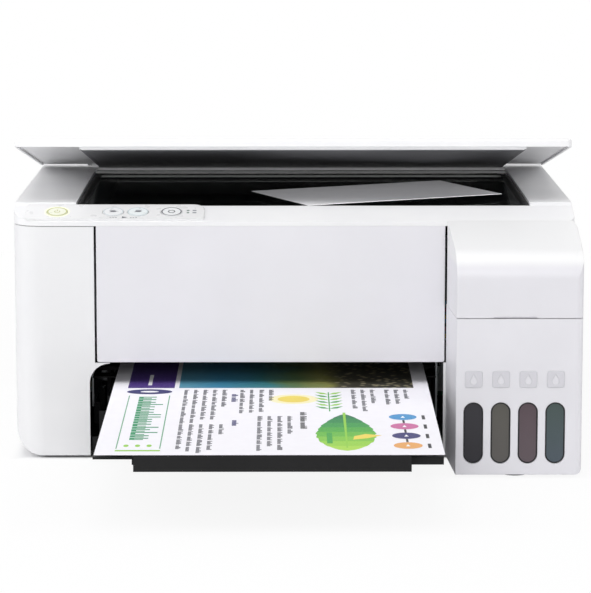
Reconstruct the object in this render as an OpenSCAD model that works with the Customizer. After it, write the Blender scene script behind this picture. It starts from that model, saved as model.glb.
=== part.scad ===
// Ink-tank inkjet printer with a flatbed scanner on top of it.
// X runs to the right, -Y to the front and Z up, in millimetres.
// Inside the modules Y = 0 is the plane of the front panel and Z = 0 is the floor.
// placed() then moves the whole printer, so that its origin lies under the middle of its box.

/* [Body] */
// Width over both sides
body_w = 375; // [371:1:390]
// Depth of the paper feeder behind the scanner unit
feeder_d = 29; // [28:1:36]
// Height of the glass plane above the floor
deck_z = 170; // [169:1:182]
// Wall of the moulded housings
wall = 2.5; // [2:0.1:3]
// Height of the rubber feet
foot_h = 2; // [1.5:0.5:3]
// Radius of a rubber foot
foot_r = 9; // [6:1:11]
// Radius of the front left upright edge
front_r = 20; // [12:1:24]
// Radius of the bottom left edge
bottom_r = 19; // [12:1:22]
// Radius of the other upright edges
edge_r = 8; // [4:1:10]
// Gap between moulded parts that lie side by side
seam = 0.4; // [0.3:0.1:0.6]
// Radial clearance of a pin or shaft that turns in a hole
running_gap = 0.05; // [0.03:0.01:0.09]
// Clearance between a piece and the seat that it lies on
seat_gap = 0.2; // [0.1:0.05:0.3]

/* [Scanner unit] */
// Depth of the scanner's frame behind the glass
rear_rim_d = 15; // [14.5:0.5:16]
// Height of the scanner unit's skirt
skirt_h = 12.5; // [12:0.5:13]
// Depth of the sloping band along the front
band_d = 25; // [24:0.5:26]
// How far the band falls towards the front
band_fall = 7.5; // [5:0.5:7.5]
// Width of the platen glass
glass_w = 305; // [298:1:310]
// Depth of the platen glass
glass_d = 216; // [212:1:216]
// Thickness of the platen glass
glass_t = 3; // [2:0.5:3.5]
// How far the glass lies below the frame beside it
glass_sink = 2; // [1.5:0.1:2.2]
// How far the glass lies to the right of the middle
glass_shift = 6.5; // [0:0.5:8]
// Depth of the scanner's pan below the glass plane
pan_depth = 22; // [21.5:0.5:24]
// Width of the ledge under the glass
glass_ledge = 4; // [3:0.5:6]
// Radius of the rod that the scan carriage runs on
scan_rod_r = 2.5; // [2:0.5:3]

/* [Lid] */
// Thickness of the lid in its middle
lid_t = 7; // [6:0.5:9]
// Thickness of the lid at its edges
lid_rim_t = 4; // [3.5:0.5:4.5]
// Angle by which the lid stands open
lid_open = 9.5; // [0:0.5:60]
// Height of the closed lid's underside above the frame
lid_lift = 2; // [1.8:0.1:2.5]
// Radius of the lid's upper edges
lid_edge_r = 2; // [1:0.5:2.2]
// How much narrower than the glass the pad is, on each side
pad_side_gap = 1.5; // [-1:0.5:6]
// Distance of the pad's front edge behind the band
pad_front_gap = 4.5; // [4.5:0.5:15]
// Distance of each hinge post from the middle
post_x = 146; // [140:1:150]

/* [Front panel and paper slot] */
// Height of the panel's lower edge
panel_z = 65.6; // [64:0.1:66]
// Thickness of the panel
panel_t = 2.6; // [2:0.1:3]
// Gap beside the panel
panel_gap = 1.5; // [1:0.1:2]
// Width of the left pillar beside the paper slot
pillar_w = 50.9; // [50:0.1:51.5]
// How far the panel covers the slot's left corner short of the pillar
panel_inset = 5.1; // [4:0.1:6]
// Radius of the slot's upper left corner
slot_r = 13.5; // [8:0.5:14]

/* [Ink tank unit] */
// Width of the tank unit
tank_w = 85.5; // [85:0.5:86.5]
// How far the tank unit stands out in front
tank_reach = 62; // [58:1:70]
// Draft of the tank unit's left wall over its reach
tank_draft = 3.2; // [1:0.1:4]
// Height of the seam between the tanks and their cover
tank_seam_z = 105; // [100:1:106]
// Fall of the cover's top towards the front, in degrees
cover_slope = 16; // [12:1:17]
// Radius of the cover's front upper edge
cover_r = 18; // [10:1:20]
// Radius of the tank unit's other edges
tank_edge_r = 4; // [2.5:0.5:5]
// Distance between two tanks
tank_pitch = 17.75; // [17:0.25:18]
// Width of a tank window
window_w = 12.9; // [11:0.1:13.5]
// Height of a tank window
window_h = 40.7; // [30:0.1:46]
// Height of a window's lower end
window_z = 9.4; // [8:0.1:12]
// Radius of a tank's filler neck
neck_r = 6.5; // [5.5:0.1:7]
// Radius of the bore in a filler neck
neck_bore_r = 5; // [4:0.1:5]
// Radius of the rod that the tank caps turn on
cap_rod_r = 1.5; // [1.2:0.1:1.8]

/* [Paper and trays] */
// Width of the sheet
sheet_w = 210; // [200:1:210]
// Length of the sheet
sheet_l = 297; // [280:1:297]
// Thickness of the sheet
sheet_t = 0.3; // [0.2:0.05:0.4]
// How far the sheet lies to the left of the middle
paper_shift = 15.2; // [15:0.1:15.8]
// Gap between the exit rollers and the sheet that has left them
sheet_gap = 0.8; // [0.8:0.1:2]
// Height of the sheet's underside at its front edge
sheet_z = 47.2; // [47.1:0.1:47.5]
// Rise of the sheet towards the back, in degrees
sheet_rise = 1; // [0.8:0.1:1]
// How far the output tray stands out
tray_reach = 188; // [170:1:190]
// Height of the output tray's underside
tray_z = 36.2; // [35:0.1:36.4]
// Height of the output tray
tray_h = 4.9; // [4.5:0.1:5]
// Width of the tray extension
extension_w = 167; // [140:1:170]
// How far the extension stands out beyond the tray
extension_reach = 20; // [16:1:30]
// Height of the extension's front lip
lip_h = 10.8; // [8:0.1:10.8]

/* [Paper drive] */
// Tooth size of the gears
gear_module = 1; // [1:1:1]
// Teeth of the feed roller's gear
feed_teeth = 32; // [32:1:32]
// Teeth of the transfer gear
transfer_teeth = 48; // [48:1:48]
// Teeth of the exit roller's gear
exit_teeth = 24; // [24:1:24]
// Teeth of the feed motor's pinion
pinion_teeth = 12; // [12:1:12]
// Distance of the feed roller behind the front panel
feed_y = 168; // [167:0.5:169]
// Height of the axis of the feed and exit rollers
roller_z = 49.5; // [49.3:0.1:49.8]
// Radius of the feed roller
feed_r = 7.6; // [7:0.1:7.8]
// Radius of the exit rollers
exit_r = 5.7; // [5:0.1:6]
// Radius of the pinch rollers
pinch_r = 4; // [3.5:0.1:4.2]
// Radius of the star wheels
star_r = 4.5; // [4:0.1:5]
// Radius of the pick-up rollers
pickup_r = 20; // [17:0.5:20]
// Slope of the paper in the rear feeder, in degrees
feed_slope = 70; // [69:1:71]

/* [Print carriage] */
// Width of the print carriage
carriage_w = 70; // [60:1:72]
// Middle of the parked carriage, to the right of the middle
carriage_x = 135; // [132:1:136]
// Height of the print head's underside
head_z = 58.5; // [58.2:0.1:59]
// Radius of the belt's pitch line on its pulleys
pulley_r = 6; // [5:0.5:7]
// Thickness of the drive belt
belt_t = 1.2; // [0.8:0.1:1.5]
// Radius of an ink tube
tube_r = 1.5; // [1:0.1:1.8]
// Distance between two ink tubes
tube_pitch = 5; // [4.5:0.5:6]

/* [Buttons] */
// Radius of the buttons
button_r = 7; // [6:0.5:7]
// Gap around a button
button_gap = 0.3; // [0.2:0.05:0.4]
// Distances of the four buttons from the left side
button_places = [29.5, 67, 83.5, 106];

/* [Hidden] */
$fn = 48;

white = "#f1f1f2";
shade_white = "#dedee2";
dark = "#2c2c2e";
steel = "#a9adb1";
rubber = "#1f1f21";
margin = 1;
half_w = body_w / 2;

// depths of the scanner unit and the whole body
scanner_d = band_d + glass_d + rear_rim_d;
body_d = scanner_d + feeder_d;

// heights of the scanner unit and the lid
skirt_z = deck_z - skirt_h;
rim_z = skirt_z - seam;
band_angle = atan(band_fall / band_d);
glass_z = deck_z - glass_sink;
band_z = glass_z - band_fall;
glass_x = [glass_shift - glass_w / 2, glass_shift + glass_w / 2];
glass_y = [band_d + 0.5, band_d + 0.5 + glass_d];
ledge_t = 1.6;
frame_low = glass_z - glass_t - ledge_t;
pan_z = deck_z - pan_depth;
pan_x = 172;
pan_y = [band_d + 2, scanner_d - 12];
pan_t = 2;
lid_low = deck_z + lid_lift;
pad_t = lid_low - glass_z - 2 * seat_gap;
pad_x = [glass_x[0] + pad_side_gap, glass_x[1] - pad_side_gap];
pad_y = [band_d + pad_front_gap, band_d + glass_d - 0.5];
lid_high = lid_low + lid_t;
lid_rear = scanner_d - 3;
lid_front = band_d + 2.5;
lid_corner_r = 3;
lid_crown_d = 50;
lid_pin_r = 1.5;
lid_knuckle_r = 3.2;
lid_axis = [scanner_d - 6.3, lid_low + 1.8];
shoulder_y = scanner_d + 6.5;
scanner_axis = [scanner_d - 1, skirt_z + 0.5];
scanner_pin_r = 2;
scanner_knuckle_r = 4;
hinge_x = 168;
post_size = [10, 5];
post_y = lid_axis[0] - post_size[1] / 2;

// the front panel, the slot and the paper
tank_x = half_w - tank_w;
slot_x = [pillar_w - half_w, tank_x - 1.6];
panel_x = [slot_x[0] + panel_inset, tank_x - 1];
paper_x = -paper_shift;
tray_w = sheet_w + 3;
tray_x = [paper_x - 0.8 - tray_w / 2, paper_x - 0.8 + tray_w / 2];
extension_x = [paper_x + 1.8 - extension_w / 2, paper_x + 1.8 + extension_w / 2];
tray_top = tray_z + tray_h;
tray_plate = 1.5;
extension_t = 2.6;
tray_slide = 0.3;
tray_rear = 16;
extension_front = -tray_reach - extension_reach;

// sockets and supply at the back
inlet_x = 26.5 - half_w;
usb_x = half_w - 37.5;
supply_x = 6.5 - half_w;

// the floor of the base and the parts that stand on it
base_x = [-half_w + bottom_r + seat_gap, half_w - wall - seat_gap];
base_t = 2.5;
floor_z = foot_h + base_t;

// the frame and the rollers
frame_t = 1.2;
frame_x = [-140.5, 177.5];
frame_y0 = 80;
frame_back = feed_y + 10;
frame_top = 126;
plate_right = 99.5;
gear_x = [-148, -143];
transfer_y = feed_y - gear_module * (feed_teeth + transfer_teeth) / 2;
exit_y = transfer_y - gear_module * (transfer_teeth + exit_teeth) / 2;
pinion_z = roller_z - gear_module * (feed_teeth + pinion_teeth) / 2;
sheet_reach = sheet_l + exit_r + sheet_gap - exit_y;
feed_shaft_r = 4;
exit_shaft_r = 3;
stud_r = 3;
wire_r = 1;
nip_gap = 0.3;
pinch_z = roller_z + feed_r + nip_gap + pinch_r;
star_z = roller_z + exit_r + nip_gap + star_r;
roll_x = [paper_x - 107, paper_x + 107];
tooth_backlash = 0.3;

// the rear feeder
pickup_y = body_d - 63;
pickup_z = 75;
pickup_shaft_r = 4;
feeder_x = [roll_x[0] - 6, roll_x[1] + 6];
hopper_t = 2.5;
hopper_gap = 4;
hopper_low = 66;
hopper_hinge = [body_d - 11.6, deck_z - 15];
hopper_pin_r = 1.5;
support_t = 2.5;
guard_axis = [shoulder_y + 5.5, deck_z - 2.9];
guard_t = 1.6;
guard_pin_r = 1.5;

// the tank unit
tank_mid = (tank_x + half_w) / 2 - 1.5;
tank_count = 4;
tank_low = foot_h + seat_gap;
tank_front = -tank_reach;
tank_back = -8;
tank_gap = 1.2;
deck_t = 2.5;
tank_deck_z = tank_seam_z - 1;
mark_z = [59.9, 70.8];
neck_y = -30;
neck_top = tank_deck_z + 9;
cap_axis = [-8, neck_top + 2.3];
cap_barrel_r = 3;
cap_t = 4;
cap_front = -42;
cover_barrel_r = 3;
cover_axis = [-cover_barrel_r - seam, band_z - 2];
cover_ear_x = [tank_x + 14, half_w - 14];
cover_ear_w = 4;
cover_ear_r = 2;

// the print carriage, its belt and its tubes
carriage_y = [103, feed_y - 5.5];
carriage_z = [head_z + 6, 114];
belt_y = [171, 176];
belt_z = 100;
motor_x = 166;
idler_x = -130;
tube_z = 76;
tube_front_y = 14;
tube_return_y = 94;
tube_bend_x = -10;

// the small print on the glass
print_at = [58, 99];
print_turn = 25.5;
print_size = [150, 90];

// the buttons
button_t = 3.9;
button_rise = 0.3;
pod_t = 1.2;
pod_x = [8, 128];
pocket_t = 3.6;

frame_shift = -(body_d - sheet_reach) / 2;

// ---- helpers ----

module placed() translate([0, frame_shift, 0]) children();

module span(x, y, z) {
  translate([x[0], y[0], z[0]]) cube([x[1] - x[0], y[1] - y[0], z[1] - z[0]]);
}

module rod_x(x, y, z, r) {
  translate([x[0], y, z]) rotate([0, 90, 0]) cylinder(r = r, h = x[1] - x[0]);
}

module rod_y(x, y, z, r) {
  translate([x, y[1], z]) rotate([90, 0, 0]) cylinder(r = r, h = y[1] - y[0]);
}

module rod_z(x, y, z, r) {
  translate([x, y, z[0]]) cylinder(r = r, h = z[1] - z[0]);
}

// a profile in Y and Z, swept along X
module sweep_x(x) {
  translate([x[0], 0, 0]) rotate([90, 0, 90]) linear_extrude(x[1] - x[0]) children();
}

// a profile in X and Z, swept along Y
module sweep_y(y) {
  translate([0, y[1], 0]) rotate([90, 0, 0]) linear_extrude(y[1] - y[0]) children();
}

// what a rounding takes off a corner; way points from the corner into the piece
module corner_waste(at, way, r) {
  difference() {
    translate([way[0] > 0 ? at[0] - margin : at[0] - r, way[1] > 0 ? at[1] - margin : at[1] - r])
      square(r + margin);
    translate([at[0] + way[0] * r, at[1] + way[1] * r]) circle(r);
  }
}

// a rectangle; r holds the radii of its low left, low right, high right and high left corners
module round_rect(x, y, r) {
  difference() {
    translate([x[0], y[0]]) square([x[1] - x[0], y[1] - y[0]]);
    if (r[0] > 0) corner_waste([x[0], y[0]], [1, 1], r[0]);
    if (r[1] > 0) corner_waste([x[1], y[0]], [-1, 1], r[1]);
    if (r[2] > 0) corner_waste([x[1], y[1]], [-1, -1], r[2]);
    if (r[3] > 0) corner_waste([x[0], y[1]], [1, -1], r[3]);
  }
}

// an upright slot with round ends, as a flat shape
module stadium(w, h) {
  translate([-w / 2, w / 2]) square([w, h - w]);
  translate([0, w / 2]) circle(w / 2);
  translate([0, h - w / 2]) circle(w / 2);
}

// a toothed wheel, as a flat shape; first is the angle of one tooth
module gear_shape(teeth, first) {
  pitch_r = gear_module * teeth / 2;
  root_r = pitch_r - 1.2 * gear_module;
  tip_r = pitch_r + 0.8 * gear_module;
  step = 360 / teeth;
  thin = tooth_backlash / pitch_r * 180 / PI / 2;
  polygon([for (i = [0 : teeth - 1], s = [[root_r, -0.36], [tip_r, -0.14], [tip_r, 0.14], [root_r, 0.36]])
    let (a = first + i * step + s[1] * step - sign(s[1]) * thin) [s[0] * cos(a), s[0] * sin(a)]]);
}

module gear(x, y, z, teeth, first) {
  translate([0, y, z]) sweep_x(x) gear_shape(teeth, first);
}

// turns what is drawn closed about an axis along X; a positive angle raises the front
module raised(axis, angle) {
  translate([0, axis[0], axis[1]]) rotate([-angle, 0, 0]) translate([0, -axis[0], -axis[1]]) children();
}

// the frame of the sloping band: Z is square to it and the origin is its front edge
module on_band() {
  translate([-half_w, 0, band_z]) rotate([band_angle, 0, 0]) children();
}

// ---- housing and base ----

module body_plan(inset) {
  r = edge_r - inset;
  round_rect([inset - half_w, half_w - inset], [inset, body_d - inset], [front_r - inset, r, r, r]);
}

module body_outline(inset) {
  round_rect([inset - half_w, half_w - inset], [foot_h + inset, deck_z + 2 * margin],
    [bottom_r - inset, tank_edge_r - inset, 0, 0]);
}

module body_solid(inset, z) {
  intersection() {
    translate([0, 0, z[0]]) linear_extrude(z[1] - z[0]) body_plan(inset);
    sweep_y([-margin, body_d + margin]) body_outline(inset);
  }
}

module slot_opening() {
  lintel = panel_z - seam;
  corner_top = lintel - 0.5;
  sweep_y([-margin, wall + margin]) {
    round_rect(slot_x, [-margin, corner_top], [0, 0, 0, slot_r]);
    translate([slot_x[0] + slot_r, 0]) square([slot_x[1] - slot_x[0] - slot_r, lintel + margin]);
    translate([panel_x[0] - panel_gap, lintel])
      square([panel_x[1] - panel_x[0] + 2 * panel_gap, deck_z]);
  }
}

module cover_ears() {
  for (x = cover_ear_x) {
    rod_x([x - cover_ear_w / 2, x + cover_ear_w / 2], cover_axis[0], cover_axis[1], cover_ear_r);
    span([x - cover_ear_w / 2, x + cover_ear_w / 2], [cover_axis[0], seam],
      [cover_axis[1] - 5.4, rim_z]);
    rod_x([x - cover_ear_w / 2 - 4, x + cover_ear_w / 2 + 4], cover_axis[0], cover_axis[1], cap_rod_r);
  }
}

module scanner_brackets() {
  reach = shoulder_y + wall;
  for (side = [-1, 1]) {
    x = side * hinge_x;
    difference() {
      union() {
        rod_x([x - 5, x + 5], scanner_axis[0], scanner_axis[1], scanner_knuckle_r);
        sweep_x([x - 5, x + 5]) polygon([
          [scanner_axis[0] - 3, scanner_axis[1] - 2.6], [reach, scanner_axis[1] - 2.6],
          [reach, scanner_axis[1] - 22], [scanner_axis[0] + 2, scanner_axis[1] - 12]
        ]);
      }
      rod_x([x - 6, x + 6], scanner_axis[0], scanner_axis[1], scanner_pin_r + running_gap);
    }
  }
}

module main_housing() {
  inner_top = rim_z - 4;
  color(white) difference() {
    union() {
      difference() {
        union() {
          body_solid(0, [foot_h, rim_z]);
          intersection() {
            body_solid(0, [rim_z - margin, deck_z]);
            span([-half_w, half_w], [shoulder_y, body_d], [0, deck_z]);
          }
        }
        body_solid(wall, [0, inner_top]);
        span([bottom_r - half_w, half_w - wall], [wall, body_d - wall], [0, foot_h + wall + margin]);
        intersection() {
          body_solid(wall, [inner_top - margin, deck_z]);
          span([-half_w, half_w], [0, shoulder_y], [0, deck_z]);
        }
        span([-half_w - margin, half_w + margin], [scanner_axis[0] - 4, shoulder_y], [inner_top, deck_z]);
        intersection() {
          body_solid(wall, [inner_top - margin, deck_z - wall]);
          span([-half_w, half_w], [shoulder_y + wall, body_d], [0, deck_z]);
        }
      }
      cover_ears();
      scanner_brackets();
    }
    slot_opening();
    for (k = [0 : tank_count - 1])
      rod_y(tank_place(k), [-margin, wall + margin], tube_z + k * tube_pitch, tube_r + 0.4);
    span([feeder_x[0] - seat_gap, feeder_x[1] + seat_gap], [shoulder_y - margin, body_d - wall + 0.01],
      [inner_top - 12, deck_z + margin]);
    span([inlet_x - 14, inlet_x + 14], [body_d - wall - margin, body_d + margin], [19.5, 41.5]);
    span([usb_x - 6.4, usb_x + 6.4], [body_d - wall - margin, body_d + margin], [21.4, 32.8]);
    for (i = [0 : 9])
      span([-20 + 10 * i, -16 + 10 * i], [body_d - wall - margin, body_d + margin], [40, 70]);
    for (p = screw_places())
      rod_y(p[0], [body_d - 1.4, body_d + margin], p[1], 3.4);
  }
}

function screw_places() = [for (side = [-1, 1], z = [14, 142]) [side * (half_w - 15.5), z]];

module housing_screws() {
  color("#4a4a4d") for (p = screw_places()) difference() {
    rod_y(p[0], [body_d - 1.4, body_d - 0.2], p[1], 3);
    for (turn = [0, 90]) translate([p[0], body_d, p[1]]) rotate([0, turn, 0])
      cube([3.6, 1.4, 0.8], center = true);
  }
}

module base_tray() {
  color(dark) difference() {
    union() {
      span(base_x, [wall + seat_gap, body_d - wall - seat_gap], [foot_h, floor_z]);
      // runners for the output tray, closed at the back
      for (x = [tray_x[0] - tray_slide - 2.4, tray_x[1] + tray_slide])
        span([x, x + 2.4], [6, 214], [floor_z - 0.01, tray_top + tray_slide]);
      for (x = [tray_x[0] - tray_slide - 0.1, tray_x[1] - 5.6])
        span([x, x + 6], [6, 214], [floor_z - 0.01, tray_z - tray_slide]);
      span([tray_x[0] - 2, tray_x[1] + 2], [211.6, 214], [floor_z - 0.01, tray_top + tray_slide]);
      // ribs that carry the frame, the motor and the platen
      for (y = [96, 150]) span([-140.5, -136], [y, y + 8], [floor_z - 0.01, 20]);
      for (y = [90, 166]) span([plate_right - 1, plate_right + 3], [y, y + 8], [floor_z - 0.01, 12]);
      span([base_x[0], -154], [feed_y - 12, feed_y + 12], [floor_z - 0.01, pinion_z]);
      for (x = [-132, plate_right - 4]) span([x, x + 3], [112, 146], [floor_z - 0.01, 42 - seat_gap]);
      // the low wall behind the slot
      span([slot_x[0] + 1, slot_x[1] - 1], [4, 5.6], [floor_z - 0.01, 14]);
      for (x = [-90, 60]) span([x, x + 1.6], [body_d - 55, body_d - 15], [floor_z - 0.01, 10]);
      span([tray_x[0] - 8.6, tray_x[0] - 3.6], [7, 9], [floor_z - 0.01, 31]);
    }
    rod_x([-180, -150.5], feed_y, pinion_z, 14 + seat_gap);
    for (x = [-100 : 20 : 80])
      span([x, x + 12], [body_d - 45, body_d - 42], [foot_h - margin, floor_z + margin]);
  }
}

function foot_places() = [
  [-half_w + 42, 22], [-half_w + 42, body_d - 22], [half_w - 24, body_d - 22], [half_w - 24, 22],
  [half_w - tank_w / 2, tank_front + 16]
];

module rubber_feet() {
  color(rubber) for (p = foot_places()) difference() {
    rod_z(p[0], p[1], [0, p[1] < 0 ? tank_low : foot_h], foot_r);
    rod_z(p[0], p[1], [-margin, 0.8], foot_r - 2.5);
  }
}

// ---- frame and paper drive ----

module frame_bores() {
  shaft_x = [frame_x[0] - margin, plate_right + 2 * margin + frame_t];
  rod_x(shaft_x, feed_y, roller_z, feed_shaft_r + running_gap);
  rod_x(shaft_x, exit_y, roller_z, exit_shaft_r + running_gap);
}

module pinch_arms() {
  for (x = pinch_gaps()) difference() {
    sweep_x([x - 1.5, x + 1.5]) polygon([
      [frame_back + 0.1, pinch_z + 9], [frame_back + 0.1, pinch_z + 3], [feed_y - 2.4, pinch_z - 2],
      [feed_y - 2.4, pinch_z + 2.4], [feed_y + 3, pinch_z + 5]
    ]);
    rod_x([x - 2, x + 2], feed_y, pinch_z, wire_r + running_gap);
  }
}

module star_bar() {
  top = star_z + star_r + 2.5;
  span([frame_x[0], plate_right + frame_t], [exit_y - 5, exit_y + 5], [top - frame_t, top]);
  for (x = star_gaps()) difference() {
    span([x - 1, x + 1], [exit_y - 2.6, exit_y + 2.6], [star_z - 2.6, top - frame_t + 0.01]);
    rod_x([x - 2, x + 2], exit_y, star_z, wire_r + running_gap);
  }
}

module main_frame() {
  star_top = star_z + star_r + 2.5;
  color(steel) {
    difference() {
      union() {
        // back plate with the rail along its top
        span(frame_x, [frame_back, frame_back + frame_t], [pinch_z + 2.6, frame_top + frame_t]);
        span(frame_x, [150, frame_back + frame_t], [frame_top, frame_top + frame_t]);
        span(frame_x, [150, 150 + frame_t], [frame_top - 8, frame_top + frame_t]);
        span([frame_x[0], -128], [frame_back, frame_back + frame_t], [20, pinch_z + 3]);
        span([plate_right, frame_x[1]], [frame_back, frame_back + frame_t], [12, pinch_z + 3]);
        // side plates
        span([frame_x[0], frame_x[0] + frame_t], [frame_y0, frame_back + frame_t], [20, frame_top + frame_t]);
        span([plate_right, plate_right + frame_t], [frame_y0, frame_back + frame_t], [12, 56]);
        span([plate_right, plate_right + frame_t], [frame_y0, exit_y + 6], [12, star_top]);
        span([frame_x[1] - frame_t, frame_x[1]], [150, frame_back + frame_t], [60, frame_top + frame_t]);
      }
      frame_bores();
      rod_y(motor_x, [frame_back - margin, frame_back + 2 * margin], belt_z, 5);
      rod_y(idler_x, [frame_back - margin, frame_back + 2 * margin], belt_z, 1.5 + running_gap);
      for (x = [-100 : 40 : 140]) span([x, x + 22], [160, 170], [frame_top - margin, frame_top + 2 * margin]);
      span([frame_x[0] - margin, frame_x[0] + 2 * margin], [110, 142], [86, 116]);
    }
    star_bar();
    pinch_arms();
    // stud of the transfer gear
    rod_x([gear_x[0] - 3, frame_x[0]], transfer_y, roller_z, stud_r);
  }
}

module platen() {
  color(dark) {
    difference() {
      span([frame_x[0] + frame_t + seat_gap, plate_right - seat_gap], [exit_y + 8, feed_y - 9],
        [42, roller_z + 4]);
      span([roll_x[0], roll_x[1]], [exit_y + 20, feed_y - 26], [roller_z, roller_z + 5]);
      // relief for the roller shafts' bearings
      for (k = [0 : 4]) span([-110 + 42 * k, -86 + 42 * k], [exit_y + 24, feed_y - 30], [41, 46]);
    }
    for (k = [0 : 12])
      span([roll_x[0] + 7 + 16.4 * k, roll_x[0] + 8.4 + 16.4 * k], [exit_y + 10, feed_y - 10],
        [roller_z, roller_z + feed_r - 1.4]);
    // the apron that the sheet slides out over
    for (k = [0 : 6])
      span([roll_x[0] + 7 + 32.8 * k, roll_x[0] + 9 + 32.8 * k], [exit_y - 22, exit_y - 8],
        [42, sheet_top(exit_y - 22) - 0.9]);
    span([frame_x[0] + frame_t + seat_gap, plate_right - seat_gap], [exit_y - 22, exit_y - 8], [42, 43.2]);
    for (x = [frame_x[0] + frame_t + seat_gap, plate_right - seat_gap - 4])
      span([x, x + 4], [exit_y - 22, exit_y + 9], [42, 43.2]);
  }
}

// height of the sheet's underside at a place along the printer's depth
function sheet_top(y) = sheet_z + (y + sheet_reach) * tan(sheet_rise);

function pinch_gaps() = [for (k = [0 : 6]) roll_x[0] + 6 + k * 33.6];
function star_gaps() = [for (k = [0 : 4]) roll_x[0] + 6 + k * 50.4];

module feed_roller() {
  color("#5a5c60") difference() {
    union() {
      rod_x([gear_x[0] - 2, plate_right + frame_t + 2], feed_y, roller_z, feed_shaft_r);
      rod_x(roll_x, feed_y, roller_z, feed_r);
      gear(gear_x, feed_y, roller_z, feed_teeth, 180);
    }
    rod_x([gear_x[0] - 3, gear_x[1] + 2], feed_y, roller_z, 1.2);
  }
}

module exit_roller() {
  color(dark) {
    rod_x([gear_x[0] - 1, plate_right + frame_t + 2], exit_y, roller_z, exit_shaft_r);
    gear(gear_x, exit_y, roller_z, exit_teeth, 0);
    for (x = exit_places()) rod_x([x - 5, x + 5], exit_y, roller_z, exit_r);
  }
}

function exit_places() = [for (k = [0 : 3], s = [-1, 1]) roll_x[0] + 31.2 + k * 50.4 + s * 12];

module transfer_gear() {
  color("#e8e6df") difference() {
    // half a tooth turned, so that a gap meets each neighbour's tooth
    gear(gear_x, transfer_y, roller_z, transfer_teeth, 180 / transfer_teeth);
    rod_x([gear_x[0] - 1, gear_x[1] + 1], transfer_y, roller_z, stud_r + running_gap);
    for (a = [0 : 60 : 300]) translate([0, transfer_y, roller_z]) rotate([a, 0, 0])
      rod_x([gear_x[0] - 1, gear_x[1] + 1], 13, 0, 4);
  }
}

module feed_pinion() {
  color("#c9a24a") difference() {
    gear(gear_x, feed_y, pinion_z, pinion_teeth, 90 + 180 / pinion_teeth);
    rod_x([gear_x[0] - 1, gear_x[1] + 1], feed_y, pinion_z, 1 + running_gap);
  }
}

module pinch_rollers() {
  gaps = pinch_gaps();
  color(rubber) {
    rod_x([gaps[0] - 3, gaps[6] + 3], feed_y, pinch_z, wire_r);
    for (k = [0 : 5]) rod_x([gaps[k] + 4, gaps[k + 1] - 4], feed_y, pinch_z, pinch_r);
  }
}

// a thin wheel with pointed teeth, as a flat shape
module star_shape() {
  points = 14;
  polygon([for (i = [0 : 2 * points - 1])
    let (r = i % 2 == 0 ? star_r : star_r - 1.1, a = i * 180 / points) [r * cos(a), r * sin(a)]]);
}

module star_wheels() {
  gaps = star_gaps();
  color(steel) {
    rod_x([gaps[0] - 2.5, gaps[4] + 2.5], exit_y, star_z, wire_r);
    for (x = exit_places()) {
      translate([0, exit_y, star_z]) sweep_x([x - 0.4, x + 0.4]) star_shape();
      rod_x([x - 2.5, x + 2.5], exit_y, star_z, 2);
    }
  }
}

module pickup_roller() {
  color(rubber) {
    rod_x([feeder_x[0] + 1, feeder_x[1] - 1], pickup_y, pickup_z, pickup_shaft_r);
    for (x = [-52, 2]) difference() {
      rod_x([x, x + 22], pickup_y, pickup_z, pickup_r);
      for (a = [0 : 45 : 315]) translate([0, pickup_y, pickup_z]) rotate([a, 0, 0])
        rod_x([x - 1, x + 23], 12, 0, 3.4);
    }
  }
}

// the loop of the carriage belt, as a profile in X and Z
module belt_shape(r) {
  translate([idler_x, belt_z - r]) square([motor_x - idler_x, 2 * r]);
  for (x = [idler_x, motor_x]) translate([x, belt_z]) circle(r);
}

module carriage_belt() {
  color(rubber) sweep_y([belt_y[0] + 0.5, belt_y[1] - 0.5]) difference() {
    belt_shape(pulley_r + belt_t);
    belt_shape(pulley_r + 0.1);
  }
}

module pulley(x, bore_r) {
  color("#d8d6cf") difference() {
    union() {
      rod_y(x, [belt_y[0] - 0.7, belt_y[1] + 0.7], belt_z, pulley_r);
      for (y = [belt_y[0] - 0.7, belt_y[1] - 0.1]) rod_y(x, [y, y + 0.4], belt_z, pulley_r + 1.8);
    }
    rod_y(x, [belt_y[0] - 2, belt_y[1] + 2], belt_z, bore_r);
    for (a = [0 : 90 : 270]) rotate_about_y(x, belt_z, a)
      rod_y(x + 3.7, [belt_y[0] - 2, belt_y[1] + 2], belt_z, 0.9);
  }
}

module rotate_about_y(x, z, a) {
  translate([x, 0, z]) rotate([0, a, 0]) translate([-x, 0, -z]) children();
}

module motor_pulley() pulley(motor_x, 1 + running_gap);

module idler_pulley() pulley(idler_x, 1.5 + running_gap);

module drive_motors() {
  plate = frame_back + frame_t;
  color("#8d9196") {
    // carriage motor behind the frame
    rod_y(motor_x, [plate + 0.1, plate + 30], belt_z, 14);
    rod_y(motor_x, [belt_y[0] - 1, plate + 1], belt_z, 1);
    rod_y(motor_x, [frame_back + 0.1, plate + 1], belt_z, 4.6);
    // pin of the idler pulley
    rod_y(idler_x, [belt_y[0] - 1, plate + 1], belt_z, 1.5);
    // feed motor on its cradle
    rod_x([-180, -151], feed_y, pinion_z, 14);
    rod_x([-152, gear_x[1] + 0.5], feed_y, pinion_z, 1);
  }
}

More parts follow.
